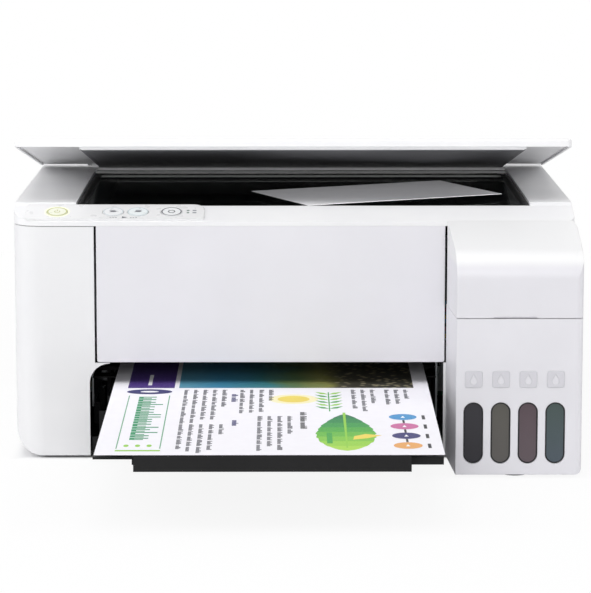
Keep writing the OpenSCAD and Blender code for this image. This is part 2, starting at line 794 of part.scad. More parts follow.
module cap_station() {
  x = [carriage_x - 27, carriage_x + 32];
  color("#5b5c5f") difference() {
    union() {
      span(x, [108, 156], [head_z - 14, head_z - 5]);
      for (k = [0 : 1]) span([x[0] + 6 + 27 * k, x[0] + 29 + 27 * k], [114, 150], [head_z - 6, head_z - 0.3]);
      span([x[0] + 14, x[1] - 14], [120, 144], [22, head_z - 13]);
      // wiper blade
      span([x[0] - 3, x[0] - 1.4], [114, 150], [head_z - 14, head_z - 0.3]);
      span([x[0] - 4, x[0] + 1], [112, 152], [head_z - 14, head_z - 9]);
    }
    for (k = [0 : 1]) span([x[0] + 8 + 27 * k, x[0] + 27 + 27 * k], [116, 148], [head_z - 3, head_z]);
  }
}

module waste_ink_pad() {
  color("#e9e7e1") difference() {
    span([plate_right + 6, base_x[1] - 6], [12, 86], [floor_z + 0.1, floor_z + 22]);
    rod_z(carriage_x, 60, [floor_z + 10, floor_z + 30], 7);
  }
}

module print_carriage() {
  x = [carriage_x - carriage_w / 2, carriage_x + carriage_w / 2];
  color("#3a3b3f") difference() {
    union() {
      span(x, carriage_y, carriage_z);
      // hook over the rail's front lip
      span([x[0] + 5, x[1] - 5], [144, 149.7], [carriage_z[1] - 0.01, 122]);
      span([x[0] + 5, x[1] - 5], [144, 154.7], [carriage_z[1] - 0.01, frame_top - 8.4]);
      span([x[0] + 5, x[1] - 5], [151.7, 155.2], [carriage_z[1] - 0.01, frame_top - 0.4]);
      // shoe along the back plate and the belt clamp
      span([x[0] + 12, x[1] - 12], [carriage_y[1] - 0.01, carriage_y[1] + 3], [80, 92]);
      span([carriage_x - 8, carriage_x + 8], [carriage_y[1] - 0.01, belt_y[0] + 6.6],
        [belt_z - pulley_r - 4, belt_z - pulley_r + 3]);
      // ink adapter with its latch
      span([x[0] + 4, x[1] - 22], [carriage_y[0] + 6, carriage_y[0] + 36],
        [carriage_z[1] - 0.01, carriage_z[1] + 9]);
    }
    // slot of the belt clamp
    span([carriage_x - 9, carriage_x + 9], [belt_y[0] + 0.1, belt_y[1] - 0.1],
      [belt_z - pulley_r - belt_t - 0.4, belt_z - pulley_r + 0.3]);
    // room for the head
    span([x[0] + 8, x[1] - 8], [carriage_y[0] + 8, carriage_y[1] - 8],
      [carriage_z[0] - 1, carriage_z[0] + 24]);
    for (k = [0 : 3])
      span([x[0] + 8 + 9 * k, x[0] + 14 + 9 * k], [carriage_y[0] + 12, carriage_y[0] + 30],
        [carriage_z[1] + 4, carriage_z[1] + 12]);
    span([x[0] + 46, x[1] - 6], [carriage_y[0] + 8, carriage_y[1] - 16],
      [carriage_z[1] - 10, carriage_z[1] + 1]);
  }
}

module print_head() {
  x = [carriage_x - carriage_w / 2 + 8.2, carriage_x + carriage_w / 2 - 8.2];
  color("#77797d") {
    span(x, [carriage_y[0] + 8.2, carriage_y[1] - 8.2], [head_z + 4, carriage_z[0] + 23.8]);
    span([x[0] + 4, x[1] - 4], [carriage_y[0] + 12, carriage_y[1] - 12], [head_z, head_z + 4.01]);
  }
}

// one ink tube: out of the tanks, along the front, round the bend and back to the carriage
module ink_tube(x, z) {
  elbow = 8;
  bend_r = (tube_return_y - tube_front_y) / 2;
  rod_y(x, [tank_back + 0.3, tube_front_y - elbow], z, tube_r);
  translate([x - elbow, tube_front_y - elbow, z])
    rotate_extrude(angle = 90) translate([elbow, 0]) circle(tube_r);
  rod_x([tube_bend_x, x - elbow], tube_front_y, z, tube_r);
  translate([tube_bend_x, tube_front_y + bend_r, z]) rotate([0, 0, 90]) rotate_extrude(angle = 180)
    translate([bend_r, 0]) circle(tube_r);
  rod_x([tube_bend_x, 112], tube_return_y, z, tube_r);
  translate([112, tube_return_y + elbow, z]) rotate([0, 0, -90]) rotate_extrude(angle = 90)
    translate([elbow, 0]) circle(tube_r);
  rod_y(112 + elbow, [tube_return_y + elbow, carriage_y[0] - 0.3], z, tube_r);
}

module ink_tubes() {
  color("#cfd3d6") for (k = [0 : tank_count - 1]) ink_tube(tank_place(k), tube_z + k * tube_pitch);
}

// ---- rear feeder ----

// a profile in Y and Z along the paper: out is how far it stands behind the paper's plane
function feed_point(z, out) = let (
  n = [sin(feed_slope), -cos(feed_slope)],
  base = [pickup_y + n[0] * (pickup_r + 0.6), pickup_z + n[1] * (pickup_r + 0.6)],
  t = (z - base[1]) / tan(feed_slope)
) [base[0] + t + out / sin(feed_slope), z];

module rear_feeder() {
  top = hopper_hinge[1] - 6;
  y0 = pickup_y - 26;
  color("#3b3b3e") difference() {
    union() {
      // cheeks that hold the pick-up shaft
      for (x = [feeder_x[0], feeder_x[1] - 3]) {
        sweep_x([x, x + 3]) polygon([
          [y0, floor_z], [y0, 84], [pickup_y + 6, 100], [scanner_d + 2, top], [shoulder_y + 1.5, top],
          [shoulder_y + wall + 1.5, top + 10], [body_d - wall - 0.4, top + 10], [body_d - wall - 0.4, floor_z]
        ]);
      }
      // back wall and the chute below the roller
      span([feeder_x[0], feeder_x[1]], [body_d - wall - 2.4, body_d - wall - 0.4], [floor_z, 68]);
      sweep_x([feeder_x[0], feeder_x[1]]) polygon(concat(
        [[feed_y + 20, tray_top + 2], [feed_y + 20, roller_z + 6]],
        [for (a = [0 : 10 : 60])
          [pickup_y + (pickup_r + 1.6) * sin(a), pickup_z - (pickup_r + 1.6) * cos(a)]],
        [[pickup_y + 24, pickup_z - 10], [pickup_y + 22, pickup_z - 28]]
      ));
      // separation pad
      span([-30, 2], [pickup_y - 10, pickup_y + 4], [pickup_z - pickup_r - 6, pickup_z - pickup_r - 1]);
      // pivots of the hopper
      for (x = [feeder_x[0], feeder_x[1] - 8])
        rod_x([x, x + 8], hopper_hinge[0], hopper_hinge[1], 3.6);
      for (x = [feeder_x[0], feeder_x[1] - 3])
        span([x, x + 3], [hopper_hinge[0] - 3.6, hopper_hinge[0] + 3.6], [top, hopper_hinge[1]]);
      // guide that bridges the slot in front
      span(feeder_x, [shoulder_y + wall + 0.3, shoulder_y + wall + 1.5], [top - 4, deck_z - 5]);
      for (x = [feeder_x[0], feeder_x[1] - 3])
        span([x, x + 3], [shoulder_y + wall + 0.3, guard_axis[0] + 2.8], [top - 4, deck_z - 0.1]);
    }
    rod_x([feeder_x[0] - margin, feeder_x[1] + margin], guard_axis[0], guard_axis[1],
      guard_pin_r + running_gap);
    rod_x([feeder_x[0] - margin, feeder_x[1] + margin], pickup_y, pickup_z, pickup_shaft_r + running_gap);
    for (x = [feeder_x[0] + 3, feeder_x[1] - 9])
      rod_x([x - 0.01, x + 6], hopper_hinge[0], hopper_hinge[1], hopper_pin_r + running_gap);
  }
}

// a point at a distance in front of or behind the hopper plate's face
function hopper_point(z, out) = let (
  high = hopper_hinge[1] + 4,
  face = 0.6 + (hopper_gap - 0.6) * (high - z) / (high - hopper_low)
) feed_point(z, face + out);

module hopper_plate() {
  x = [feeder_x[0] + 9, feeder_x[1] - 9];
  high = hopper_hinge[1] + 4;
  color("#47484b") difference() {
    union() {
      sweep_x(x) polygon([
        hopper_point(high, 0), hopper_point(hopper_low, 0), hopper_point(hopper_low, hopper_t),
        hopper_point(high, hopper_t)
      ]);
      rod_x([feeder_x[0] + 4, feeder_x[1] - 4], hopper_hinge[0], hopper_hinge[1], hopper_pin_r);
    }
    for (k = [0 : 4]) span([x[0] + 20 + 38 * k, x[0] + 40 + 38 * k], [200, 300], [84, 128]);
  }
}

module edge_guide() {
  x = roll_x[0];
  color("#55565a") {
    sweep_x([x, x + 1.6]) polygon([
      hopper_point(96, -seat_gap), feed_point(96, -9), feed_point(130, -9), hopper_point(136, -seat_gap)
    ]);
    sweep_x([x, x + 12]) polygon([
      hopper_point(100, -1.4), hopper_point(100, -seat_gap), hopper_point(112, -seat_gap),
      hopper_point(112, -1.4)
    ]);
  }
}

module feeder_guard() {
  low = guard_axis[1] + 0.8;
  color(white) {
    rod_x([feeder_x[0] + 0.6, feeder_x[1] - 0.6], guard_axis[0], guard_axis[1], guard_pin_r);
    span([feeder_x[0] + 3.3, feeder_x[1] - 3.3], [guard_axis[0] - 0.5, body_d - wall - 5],
      [low, low + guard_t]);
  }
}

module paper_support() {
  y = body_d - wall - 0.8 - support_t;
  color(white) difference() {
    sweep_y([y, y + support_t]) round_rect([-70, 40], [70, deck_z - 3.4], [2, 2, 6, 6]);
    sweep_y([y - 1, y + support_t + 1]) round_rect([-35, 5], [deck_z - 22, deck_z - 12], [3, 3, 3, 3]);
  }
}

module power_supply() {
  color("#a3a6a9") difference() {
    union() {
      span([supply_x, supply_x + 38.5], [body_d - 73, body_d - wall - 8.2], [21, 68]);
      for (y = [body_d - 69, body_d - 23])
        span([supply_x + 17, supply_x + 35], [y, y + 8], [floor_z + 0.05, 21.01]);
    }
    for (k = [0 : 6])
      span([supply_x + 5 + 5 * k, supply_x + 7.5 + 5 * k], [body_d - 60, body_d - 23], [66, 70]);
  }
}

module ac_inlet() {
  y = body_d - wall;
  color(rubber) difference() {
    union() {
      span([inlet_x - 13.7, inlet_x + 13.7], [y - 7.9, body_d + 0.6], [19.8, 41.2]);
      sweep_y([body_d + 0.1, body_d + 1.4])
        round_rect([inlet_x - 15.5, inlet_x + 15.5], [18, 43], [2, 2, 2, 2]);
    }
    sweep_y([y - 6, body_d + 2]) round_rect([inlet_x - 9.5, inlet_x + 9.5], [25, 36], [4, 4, 4, 4]);
  }
  color(steel) for (x = [inlet_x - 4.5, inlet_x + 4.5]) rod_y(x, [y - 6.01, body_d - 1], 30.5, 1.2);
}

module main_board() {
  low = floor_z + 16;
  top = low + 1.6;
  x = half_w - 81.5;
  y = body_d - 89;
  color("#2f6b46") span([x, x + 76], [y, body_d - wall - 1], [low, top]);
  color("#8a8d90") {
    for (a = [4, 70], b = [6, 78]) rod_z(x + a, y + b, [floor_z + 0.05, low + 0.01], 2.5);
    span([x + 14, x + 34], [y + 24, y + 44], [top - 0.01, top + 2.4]);
    span([x + 44, x + 56], [y + 12, y + 40], [top - 0.01, top + 8.4]);
    for (k = [0 : 3]) rod_z(x + 10 + 9 * k, y + 66, [top - 0.01, top + 10.4], 3.4);
  }
  color("#c8cbce") difference() {
    span([usb_x - 6, usb_x + 6], [body_d - 18, body_d - 0.4], [top - 0.01, 32.4]);
    span([usb_x - 4.8, usb_x + 4.8], [body_d - 8, body_d + margin], [top + 1, 31.2]);
  }
}

// ---- ink tank unit ----

function tank_place(k) = tank_mid + (k - (tank_count - 1) / 2) * tank_pitch;

// the unit's plan; its left wall leans in towards the front
module tank_plan(inset) {
  lean = tank_draft / tank_reach;
  difference() {
    round_rect([tank_x + inset, half_w - inset], [tank_front + inset, -inset - seam],
      [0, max(tank_edge_r - inset, 1), 0, 0]);
    polygon([
      [tank_x - margin, margin], [tank_x + inset, margin],
      [tank_x + inset + lean * (tank_reach + margin), tank_front - margin],
      [tank_x - margin, tank_front - margin]
    ]);
  }
}

module tank_outline(inset, top) {
  round_rect([tank_x - margin, half_w - inset], [tank_low + inset, top],
    [0, max(tank_edge_r - inset, 1), 0, 0]);
}

// the cover's section: a barrel at the hinge, a sloping top and a rounded front edge
module cover_section(inset) {
  top_at = [
    cover_axis[0] - sin(cover_slope) * (cover_barrel_r - inset),
    cover_axis[1] + cos(cover_slope) * (cover_barrel_r - inset)
  ];
  front = tank_front + inset;
  r = cover_r - inset;
  bend_y = front + r;
  bend_z = top_at[1] - (top_at[0] - bend_y) * tan(cover_slope) - r / cos(cover_slope);
  low = tank_seam_z + seam;
  polygon([
    [front, low - inset], [front, bend_z], [bend_y - r * sin(cover_slope), bend_z + r * cos(cover_slope)],
    top_at, [cover_axis[0], cover_axis[1]], [cover_axis[0], low - inset]
  ]);
  translate([bend_y, bend_z]) circle(r);
}

module tank_housing() {
  ends = [tank_place(0) - tank_pitch / 2, tank_place(tank_count - 1) + tank_pitch / 2];
  color(shade_white) difference() {
    union() {
      difference() {
        intersection() {
          translate([0, 0, tank_low]) linear_extrude(tank_seam_z - tank_low) tank_plan(0);
          sweep_y([tank_front - margin, margin]) tank_outline(0, tank_seam_z);
        }
        intersection() {
          translate([0, 0, tank_low]) linear_extrude(tank_deck_z - deck_t - tank_low) tank_plan(wall);
          sweep_y([tank_front - margin, margin]) tank_outline(wall, tank_seam_z);
        }
        translate([0, 0, tank_deck_z]) linear_extrude(tank_seam_z) tank_plan(wall);
      }
      // ears and rod of the caps
      for (x = [ends[0] - 2.2, ends[1] + 0.2]) {
        span([x, x + 2], [cap_axis[0] - 3, cap_axis[0] + 3], [tank_deck_z - 0.01, cap_axis[1]]);
        rod_x([x, x + 2], cap_axis[0], cap_axis[1], 3);
      }
      rod_x([ends[0] - 1, ends[1] + 1], cap_axis[0], cap_axis[1], cap_rod_r);
      // bezels round the level marks above the windows
      for (k = [0 : tank_count - 1])
        sweep_y([tank_front - 0.4, tank_front + 0.1]) translate([tank_place(k), 0])
          round_rect([-5.6, 5.6], mark_z, [1.5, 1.5, 1.5, 1.5]);
    }
    for (k = [0 : tank_count - 1]) {
      sweep_y([tank_front - margin, tank_front + wall + margin]) translate([tank_place(k), window_z])
        stadium(window_w, window_h);
      rod_z(tank_place(k), neck_y, [tank_deck_z - deck_t - margin, tank_deck_z + margin], neck_r + 0.4);
      rod_y(tank_place(k), [-wall - seam - margin, 2 * margin], tube_z + k * tube_pitch, tube_r + 0.4);
      // drop-shaped mark in each bezel
      sweep_y([tank_front - margin, tank_front - 0.1]) translate([tank_place(k), mark_z[0] + 4.2]) {
        circle(2.2);
        polygon([[-1.95, 1], [1.95, 1], [0, 4.6]]);
      }
    }
  }
}

module ink_tank(k, tone) {
  x = tank_place(k);
  half = (tank_pitch - tank_gap) / 2;
  z = [tank_low + wall + seat_gap, tank_deck_z - deck_t - seat_gap];
  front = tank_front + wall + seat_gap;
  color(tone) difference() {
    union() {
      span([x - half, x + half], [front, tank_back], z);
      sweep_y([tank_front + 0.9, front + 0.1]) translate([x, window_z + 0.4])
        stadium(window_w - 0.8, window_h - 0.8);
      rod_z(x, neck_y, [z[1] - 0.01, neck_top], neck_r);
    }
    rod_z(x, neck_y, [neck_top - 8, neck_top + margin], neck_bore_r);
  }
}

module tank_black() ink_tank(0, "#3b3a3f");

module tank_yellow() ink_tank(1, "#5e5a57");

module tank_magenta() ink_tank(2, "#60555b");

module tank_cyan() ink_tank(3, "#4d5860");

module tank_cap(k, tone) {
  x = tank_place(k);
  half = tank_pitch / 2 - 1;
  y = cap_axis[0];
  z = cap_axis[1];
  color(tone) difference() {
    union() {
      rod_x([x - half, x + half], y, z, cap_barrel_r);
      span([x - half + 1, x + half - 1], [cap_front, y], [neck_top + 0.4, neck_top + 0.4 + cap_t]);
      rod_z(x, neck_y, [neck_top + 0.4, neck_top + 5.6], neck_r);
      rod_z(x, neck_y, [neck_top - 2.4, neck_top + 0.5], neck_bore_r - 0.8);
    }
    rod_x([x - half - 1, x + half + 1], y, z, cap_rod_r + running_gap);
    // clip opening under the barrel
    span([x - half + 4, x + half - 4], [y - 1.4, y + 1.4], [z - 4, z]);
  }
}

module cap_black() tank_cap(0, "#262628");

module cap_yellow() tank_cap(1, "#e3c220");

module cap_magenta() tank_cap(2, "#b8326e");

module cap_cyan() tank_cap(3, "#2a8fc0");

module tank_cover() {
  low = tank_seam_z + seam;
  right_inner = half_w - wall;
  color("#f7f7f7") difference() {
    union() {
      difference() {
        intersection() {
          sweep_x([tank_x, half_w]) cover_section(0);
          translate([0, 0, low]) linear_extrude(body_d) tank_plan(0);
          sweep_y([tank_front - margin, margin]) cover_front_outline(0);
        }
        intersection() {
          sweep_x([tank_x, half_w]) cover_section(wall);
          translate([0, 0, low - margin]) linear_extrude(body_d) tank_plan(wall);
          sweep_y([tank_front - margin, margin]) cover_front_outline(wall);
        }
        span([tank_x + wall + 1, right_inner], [cover_axis[0] - 1, margin], [0, cover_axis[1] - 2]);
      }
      rod_x([tank_x + 0.4, half_w - 1], cover_axis[0], cover_axis[1], cover_barrel_r);
    }
    for (x = cover_ear_x) {
      slot = [x - cover_ear_w / 2 - 0.4, x + cover_ear_w / 2 + 0.4];
      rod_x(slot, cover_axis[0], cover_axis[1], cover_ear_r + 0.4);
      span(slot, [cover_axis[0] - 0.4, margin], [cover_axis[1] - 6, cover_axis[1]]);
      span(slot, [cover_axis[0] + 0.6, margin], [cover_axis[1] - 0.01, cover_axis[1] + 6]);
      rod_x([x - cover_ear_w / 2 - 5, x + cover_ear_w / 2 + 5], cover_axis[0], cover_axis[1],
        cap_rod_r + running_gap);
    }
    // finger notch under the front edge
    span([tank_mid - 14, tank_mid + 14], [tank_front - margin, tank_front + 1.2], [low - margin, low + 0.8]);
  }
}

module cover_front_outline(inset) {
  round_rect([tank_x - margin, half_w - inset], [0, cover_axis[1] + cover_barrel_r - inset],
    [0, 0, max(tank_edge_r - inset, 1), 0]);
}

// ---- scanner unit ----

// the unit's outer section in Y and Z, with the sloping band in front
module scanner_section() {
  polygon([
    [0, skirt_z], [0, band_z], [band_d, glass_z], [band_d + 3, deck_z], [scanner_d, deck_z],
    [scanner_d, skirt_z]
  ]);
}

module scanner_plan(inset) {
  r = edge_r - inset;
  round_rect([inset - half_w, half_w - inset], [inset, scanner_d - inset], [front_r - inset, r, 4, 4]);
}

module scanner_top() {
  color("#f4f4f5") difference() {
    intersection() {
      sweep_x([-half_w, half_w]) scanner_section();
      translate([0, 0, skirt_z]) linear_extrude(skirt_h + margin) scanner_plan(0);
    }
    // hollow of the skirt behind the band
    translate([0, 0, skirt_z - margin]) linear_extrude(frame_low - skirt_z + margin) intersection() {
      scanner_plan(wall);
      translate([-half_w, band_d]) square([body_w, scanner_d]);
    }
    // window and seat of the glass
    span([glass_x[0] + glass_ledge, glass_x[1] - glass_ledge],
      [glass_y[0] + glass_ledge, glass_y[1] - glass_ledge], [skirt_z, deck_z + margin]);
    span([glass_x[0] - seat_gap, glass_x[1] + seat_gap], [glass_y[0] - seat_gap, glass_y[1] + seat_gap],
      [glass_z - glass_t, deck_z + margin]);
    span([glass_x[0] - seat_gap, glass_x[1] + seat_gap], [band_d - margin, glass_y[0] + margin],
      [glass_z, deck_z + margin]);
    // holes of the hinge posts
    for (side = [-1, 1])
      span([side * post_x - post_size[0] / 2 - 0.3, side * post_x + post_size[0] / 2 + 0.3],
        [post_y - 0.3, post_y + post_size[1] + 0.3], [skirt_z, deck_z + 4]);
    // notches of the rear hinges
    for (side = [-1, 1])
      span([side * hinge_x - 10.4, side * hinge_x + 10.4],
        [scanner_axis[0] - scanner_knuckle_r - 1.2, scanner_d + margin],
        [skirt_z - margin, scanner_axis[1] + scanner_knuckle_r + 1.2]);
    // pocket of the buttons under the control panel
    on_band() span([pod_x[0] + 6, pod_x[1] - 6], [4.4, 23], [-pocket_t, margin]);
  }
}

module scanner_base() {
  knuckle = scanner_knuckle_r;
  color("#3c3c3f") {
    difference() {
      span([-pan_x, pan_x], pan_y, [pan_z, frame_low]);
      span([pan_t - pan_x, pan_x - pan_t], [pan_y[0] + pan_t, pan_y[1] - pan_t],
        [pan_z + pan_t, frame_low + margin]);
    }
    // pockets of the hinge posts
    for (side = [-1, 1]) difference() {
      span([side * post_x - 8, side * post_x + 8], [pan_y[1] - 0.01, post_y + post_size[1] + 1.1],
        [pan_z, frame_low]);
      span([side * post_x - post_size[0] / 2 - 0.3, side * post_x + post_size[0] / 2 + 0.3],
        [post_y - 0.3, post_y + post_size[1] + 0.3], [pan_z + 1.6, frame_low + margin]);
    }
    // ears and pins of the rear hinges
    for (side = [-1, 1]) {
      for (x = [side * hinge_x - 8.6, side * hinge_x + 5.6]) {
        rod_x([x, x + 3], scanner_axis[0], scanner_axis[1], knuckle - 0.4);
        span([x, x + 3], [pan_y[1] - 4, scanner_axis[0]], [scanner_axis[1] - 3, scanner_axis[1] + 3]);
      }
      span([side * hinge_x - 8.6, side * hinge_x + 8.6], [pan_y[1] - 4, pan_y[1] + 1], [pan_z, frame_low]);
      rod_x([side * hinge_x - 6, side * hinge_x + 6], scanner_axis[0], scanner_axis[1], scanner_pin_r);
    }
    // bearings of the guide rod
    for (x = [pan_t - pan_x - 0.01, pan_x - pan_t - 2.99])
      span([x, x + 3], [scan_rod_y() - 5, scan_rod_y() + 5], [pan_z + pan_t - 0.01, pan_z + pan_t + 3]);
    for (x = [-120 : 60 : 120])
      span([x, x + 1.6], [pan_y[0] + 3, pan_y[1] - 3], [pan_z + 1.9, pan_z + pan_t + 0.8]);
  }
}

function scan_rod_y() = 60;

module platen_glass() {
  color("#101012") span(glass_x, glass_y, [glass_z - glass_t, glass_z]);
}

module scan_drive() {
  rod_z_at = pan_z + pan_t + 3 + scan_rod_r + 0.1;
  x = [pan_t - pan_x + 0.3, pan_x - pan_t - 0.3];
  teeth = 76;
  pitch = 4;
  color("#b9bcbf") {
    rod_x(x, scan_rod_y(), rod_z_at, scan_rod_r);
    // rack along the pan
    translate([0, 0, pan_z + pan_t + 1]) linear_extrude(3) polygon(concat(
      [[-teeth * pitch / 2, 48], [-teeth * pitch / 2, 44]],
      [for (i = [0 : teeth - 1], s = [[0.1, 44], [0.35, 42.4], [0.65, 42.4], [0.9, 44]])
        [(i - teeth / 2 + s[0]) * pitch, s[1]]],
      [[teeth * pitch / 2, 44], [teeth * pitch / 2, 48]]
    ));
  }
}

module scan_carriage() {
  x = [-pan_x + 18, -pan_x + 42];
  rod_z_at = pan_z + pan_t + 3 + scan_rod_r + 0.1;
  color("#1d1d20") difference() {
    union() {
      span(x, [pan_y[0] + 5, pan_y[1] - 5], [pan_z + pan_t + 6, frame_low - 0.4]);
      span(x, [scan_rod_y() - 5, scan_rod_y() + 5], [pan_z + pan_t + 2.6, pan_z + pan_t + 6.01]);
    }
    rod_x([x[0] - 1, x[1] + 1], scan_rod_y(), rod_z_at, scan_rod_r + running_gap);
    span([x[0] + 8, x[0] + 16], [pan_y[0] + 8, pan_y[1] - 8], [frame_low - 2, frame_low]);
  }
}

module front_panel() {
  inner = panel_t - 0.01;
  color("#e6e6ea") {
    sweep_y([0, panel_t]) round_rect(panel_x, [panel_z, skirt_z - 0.01], [1.5, 1.5, 0, 0]);
    // ribs behind the panel
    for (x = [panel_x[0] + 20 : 45 : panel_x[1] - 20])
      span([x, x + 1.6], [inner, panel_t + 5], [panel_z + 8, skirt_z - 0.01]);
    span([panel_x[0] + 6, panel_x[1] - 6], [inner, panel_t + 5], [panel_z + 6, panel_z + 8]);
    span([panel_x[0] + 6, panel_x[1] - 6], [inner, panel_t + 12], [skirt_z - 2, skirt_z - 0.01]);
  }
}

module control_panel() {
  color("#fbfbfb") on_band() translate([0, 0, 0.02]) linear_extrude(pod_t) {
    difference() {
      round_rect(pod_x, [2, band_d + 0.8], [3, 3, 8, 3]);
      for (x = button_places) translate([x, 13.4]) circle(button_r + button_gap);
      for (y = [12, 15.6]) translate([117, y]) circle(0.9 + 0.1);
    }
  }
}

module button(x) {
  on_band() {
    translate([x, 13.4, pod_t + button_rise - button_t]) cylinder(r = button_r, h = button_t);
    translate([x, 13.4, -1.7]) cylinder(r = button_r + 1, h = 1.2);
  }
}

module power_button() color("#eef0dc") button(button_places[0]);

module mono_button() color("#f0f0f1") button(button_places[1]);

module colour_button() color("#eef3f4") button(button_places[2]);

module stop_button() color("#f0f0f1") button(button_places[3]);

module indicator_lights() {
  color("#6f8f6a") on_band() for (y = [12, 15.6])
    translate([117, y, -1.2]) cylinder(r = 0.9, h = 1.2 + pod_t + 0.1);
}

module original_print() {
  color("#9a999d") translate([print_at[0], print_at[1], glass_z + 0.05]) rotate([0, 0, print_turn])
    translate([-print_size[0] / 2, -print_size[1] / 2, 0]) cube([print_size[0], print_size[1], 0.25]);
}

// ---- lid ----

module lid_posed() {
  raised(lid_axis, lid_open) children();
}

module hinge_posts() {
  color(white) for (side = [-1, 1]) {
    x = side * post_x;
    span([x - post_size[0] / 2, x + post_size[0] / 2], [post_y, post_y + post_size[1]],
      [pan_z + 2, deck_z - 0.6]);
    span([x - 3.9, x + 3.9], [post_y, post_y + post_size[1]], [deck_z - 0.61, lid_axis[1]]);
    rod_x([x - 4, x + 4], lid_axis[0], lid_axis[1], lid_knuckle_r);
    rod_x([x - 7, x + 7], lid_axis[0], lid_axis[1], lid_pin_r);
  }
}

// one section of the lid between two edges: thin there, and rising gently to the middle
module lid_section(u, z) {
  slope = atan((lid_t - lid_rim_t) / lid_crown_d);
  r = lid_edge_r;
  bend_z = z[0] + lid_rim_t + r * tan(slope) - r / cos(slope);
  polygon([
    [u[0], z[0]], [u[1], z[0]], [u[1], bend_z],
    [u[1] - r + r * sin(slope), bend_z + r * cos(slope)], [u[1] - lid_crown_d, z[1]],
    [u[0] + lid_crown_d, z[1]], [u[0] + r - r * sin(slope), bend_z + r * cos(slope)], [u[0], bend_z]
  ]);
  for (u_bend = [u[0] + r, u[1] - r]) translate([u_bend, bend_z]) circle(r);
}

module lid_solid() {
  z = [lid_low, lid_high];
  y = [lid_front, lid_rear];
  x = [-half_w, half_w];
  r = lid_corner_r;
  intersection() {
    sweep_x(x) difference() {
      lid_section(y, z);
      corner_waste([lid_rear, lid_low], [-1, 1], 1.5);
    }
    sweep_y(y) lid_section(x, z);
    translate([0, 0, z[0]]) linear_extrude(z[1] - z[0]) round_rect(x, y, [r, r, r, r]);
  }
}

module lid_shell() {
  knuckle = lid_knuckle_r;
  color(white) lid_posed() difference() {
    union() {
      lid_solid();
      // thin rim round the underside
      difference() {
        translate([0, 0, lid_low - 1.4]) linear_extrude(1.5)
          round_rect([-half_w, half_w], [lid_front, lid_rear - 12], [lid_corner_r, lid_corner_r, 0, 0]);
        translate([0, 0, lid_low - 2]) linear_extrude(4)
          round_rect([1.6 - half_w, half_w - 1.6], [lid_front + 1.6, lid_rear],
            [lid_corner_r - 1.6, lid_corner_r - 1.6, 0, 0]);
      }
      for (side = [-1, 1], x = [side * post_x - 7.4, side * post_x + 4.4])
        rod_x([x, x + 3], lid_axis[0], lid_axis[1], knuckle);
    }
    for (side = [-1, 1]) {
      span([side * post_x - 4.4, side * post_x + 4.4], [lid_axis[0] - knuckle - 2, lid_rear + margin],
        [lid_low - 5, lid_axis[1] + knuckle + 1.6]);
      rod_x([side * post_x - 7.6, side * post_x + 7.6], lid_axis[0], lid_axis[1], lid_pin_r + running_gap);
    }
    // hollow under the middle, behind the pad
    span([lid_crown_d - half_w, half_w - lid_crown_d], [lid_front + lid_crown_d, lid_rear - lid_crown_d],
      [lid_low - margin, lid_high - wall]);
  }
}

module lid_pad() {
  color("#f0f0f0") lid_posed() translate([0, 0, lid_low - pad_t]) linear_extrude(pad_t - 0.02)
    round_rect(pad_x, pad_y, [3, 3, 3, 3]);
}

// ---- trays and paper ----

module output_tray() {
  plate_z = tray_top - tray_plate;
  color(dark) difference() {
    union() {
      span(tray_x, [-tray_reach, tray_rear], [plate_z, tray_top]);
      // side rails, deep on the outside of the extension
      span([tray_x[0], tray_x[0] + 5], [-tray_reach + 20, tray_rear], [tray_z, tray_top]);
      span([extension_x[1] + tray_slide, tray_x[1]], [-tray_reach, -tray_reach + 5], [tray_z, tray_top]);
      span([tray_x[1] - 5, tray_x[1]], [-tray_reach, tray_rear], [tray_z, tray_top]);
      for (x = [extension_x[0] - tray_slide - 1.6, extension_x[1] + tray_slide])
        span([x, x + 1.6], [-tray_reach, tray_rear], [tray_z, plate_z + 0.01]);
      for (x = [extension_x[0] + 16, extension_x[1] - 30])
        span([x, x + 14], [-tray_reach + 30, -tray_reach + 33], [plate_z, tray_top + 0.8]);
    }
    // hand-hold cut-out and lightening slots
    for (x = [-70 : 28 : 42])
      span([x, x + 14], [-tray_reach + 50, -40], [plate_z - margin, tray_top + 2 * margin]);
  }
}

module tray_extension() {
  plate_z = tray_top - tray_plate - tray_slide - extension_t;
  color(dark) {
    span(extension_x, [extension_front, -tray_reach + 90], [plate_z, plate_z + extension_t]);
    sweep_y([extension_front, extension_front + 3])
      round_rect(extension_x, [tray_z, tray_z + lip_h], [0, 0, 2, 2]);
  }
}

module printed_sheet() {
  color("#f4f4f6") translate([paper_x, -sheet_reach, sheet_z]) rotate([sheet_rise, 0, 0])
    translate([-sheet_w / 2, 0, 0]) cube([sheet_w, sheet_l, sheet_t]);
}

placed() base_tray();
placed() main_housing();
placed() rear_feeder();
placed() rubber_feet();
placed() housing_screws();
placed() main_frame();
placed() carriage_belt();
placed() drive_motors();
placed() motor_pulley();
placed() idler_pulley();
placed() transfer_gear();
placed() feed_pinion();
placed() platen();
placed() feed_roller();
placed() pinch_rollers();
placed() exit_roller();
placed() star_wheels();
placed() pickup_roller();
placed() hopper_plate();
placed() edge_guide();
placed() feeder_guard();
placed() paper_support();
placed() waste_ink_pad();
placed() power_supply();
placed() main_board();
placed() ac_inlet();
placed() tank_housing();
placed() tank_black();
placed() tank_yellow();
placed() tank_magenta();
placed() tank_cyan();
placed() cap_black();
placed() cap_yellow();
placed() cap_magenta();
placed() cap_cyan();
placed() tank_cover();
placed() ink_tubes();
placed() cap_station();
placed() print_carriage();
placed() print_head();
placed() scanner_base();
placed() scanner_top();
placed() front_panel();
placed() platen_glass();
placed() control_panel();
placed() power_button();
placed() mono_button();
placed() colour_button();
placed() stop_button();
placed() indicator_lights();
placed() scan_carriage();
placed() scan_drive();
placed() hinge_posts();
placed() lid_shell();
placed() lid_pad();
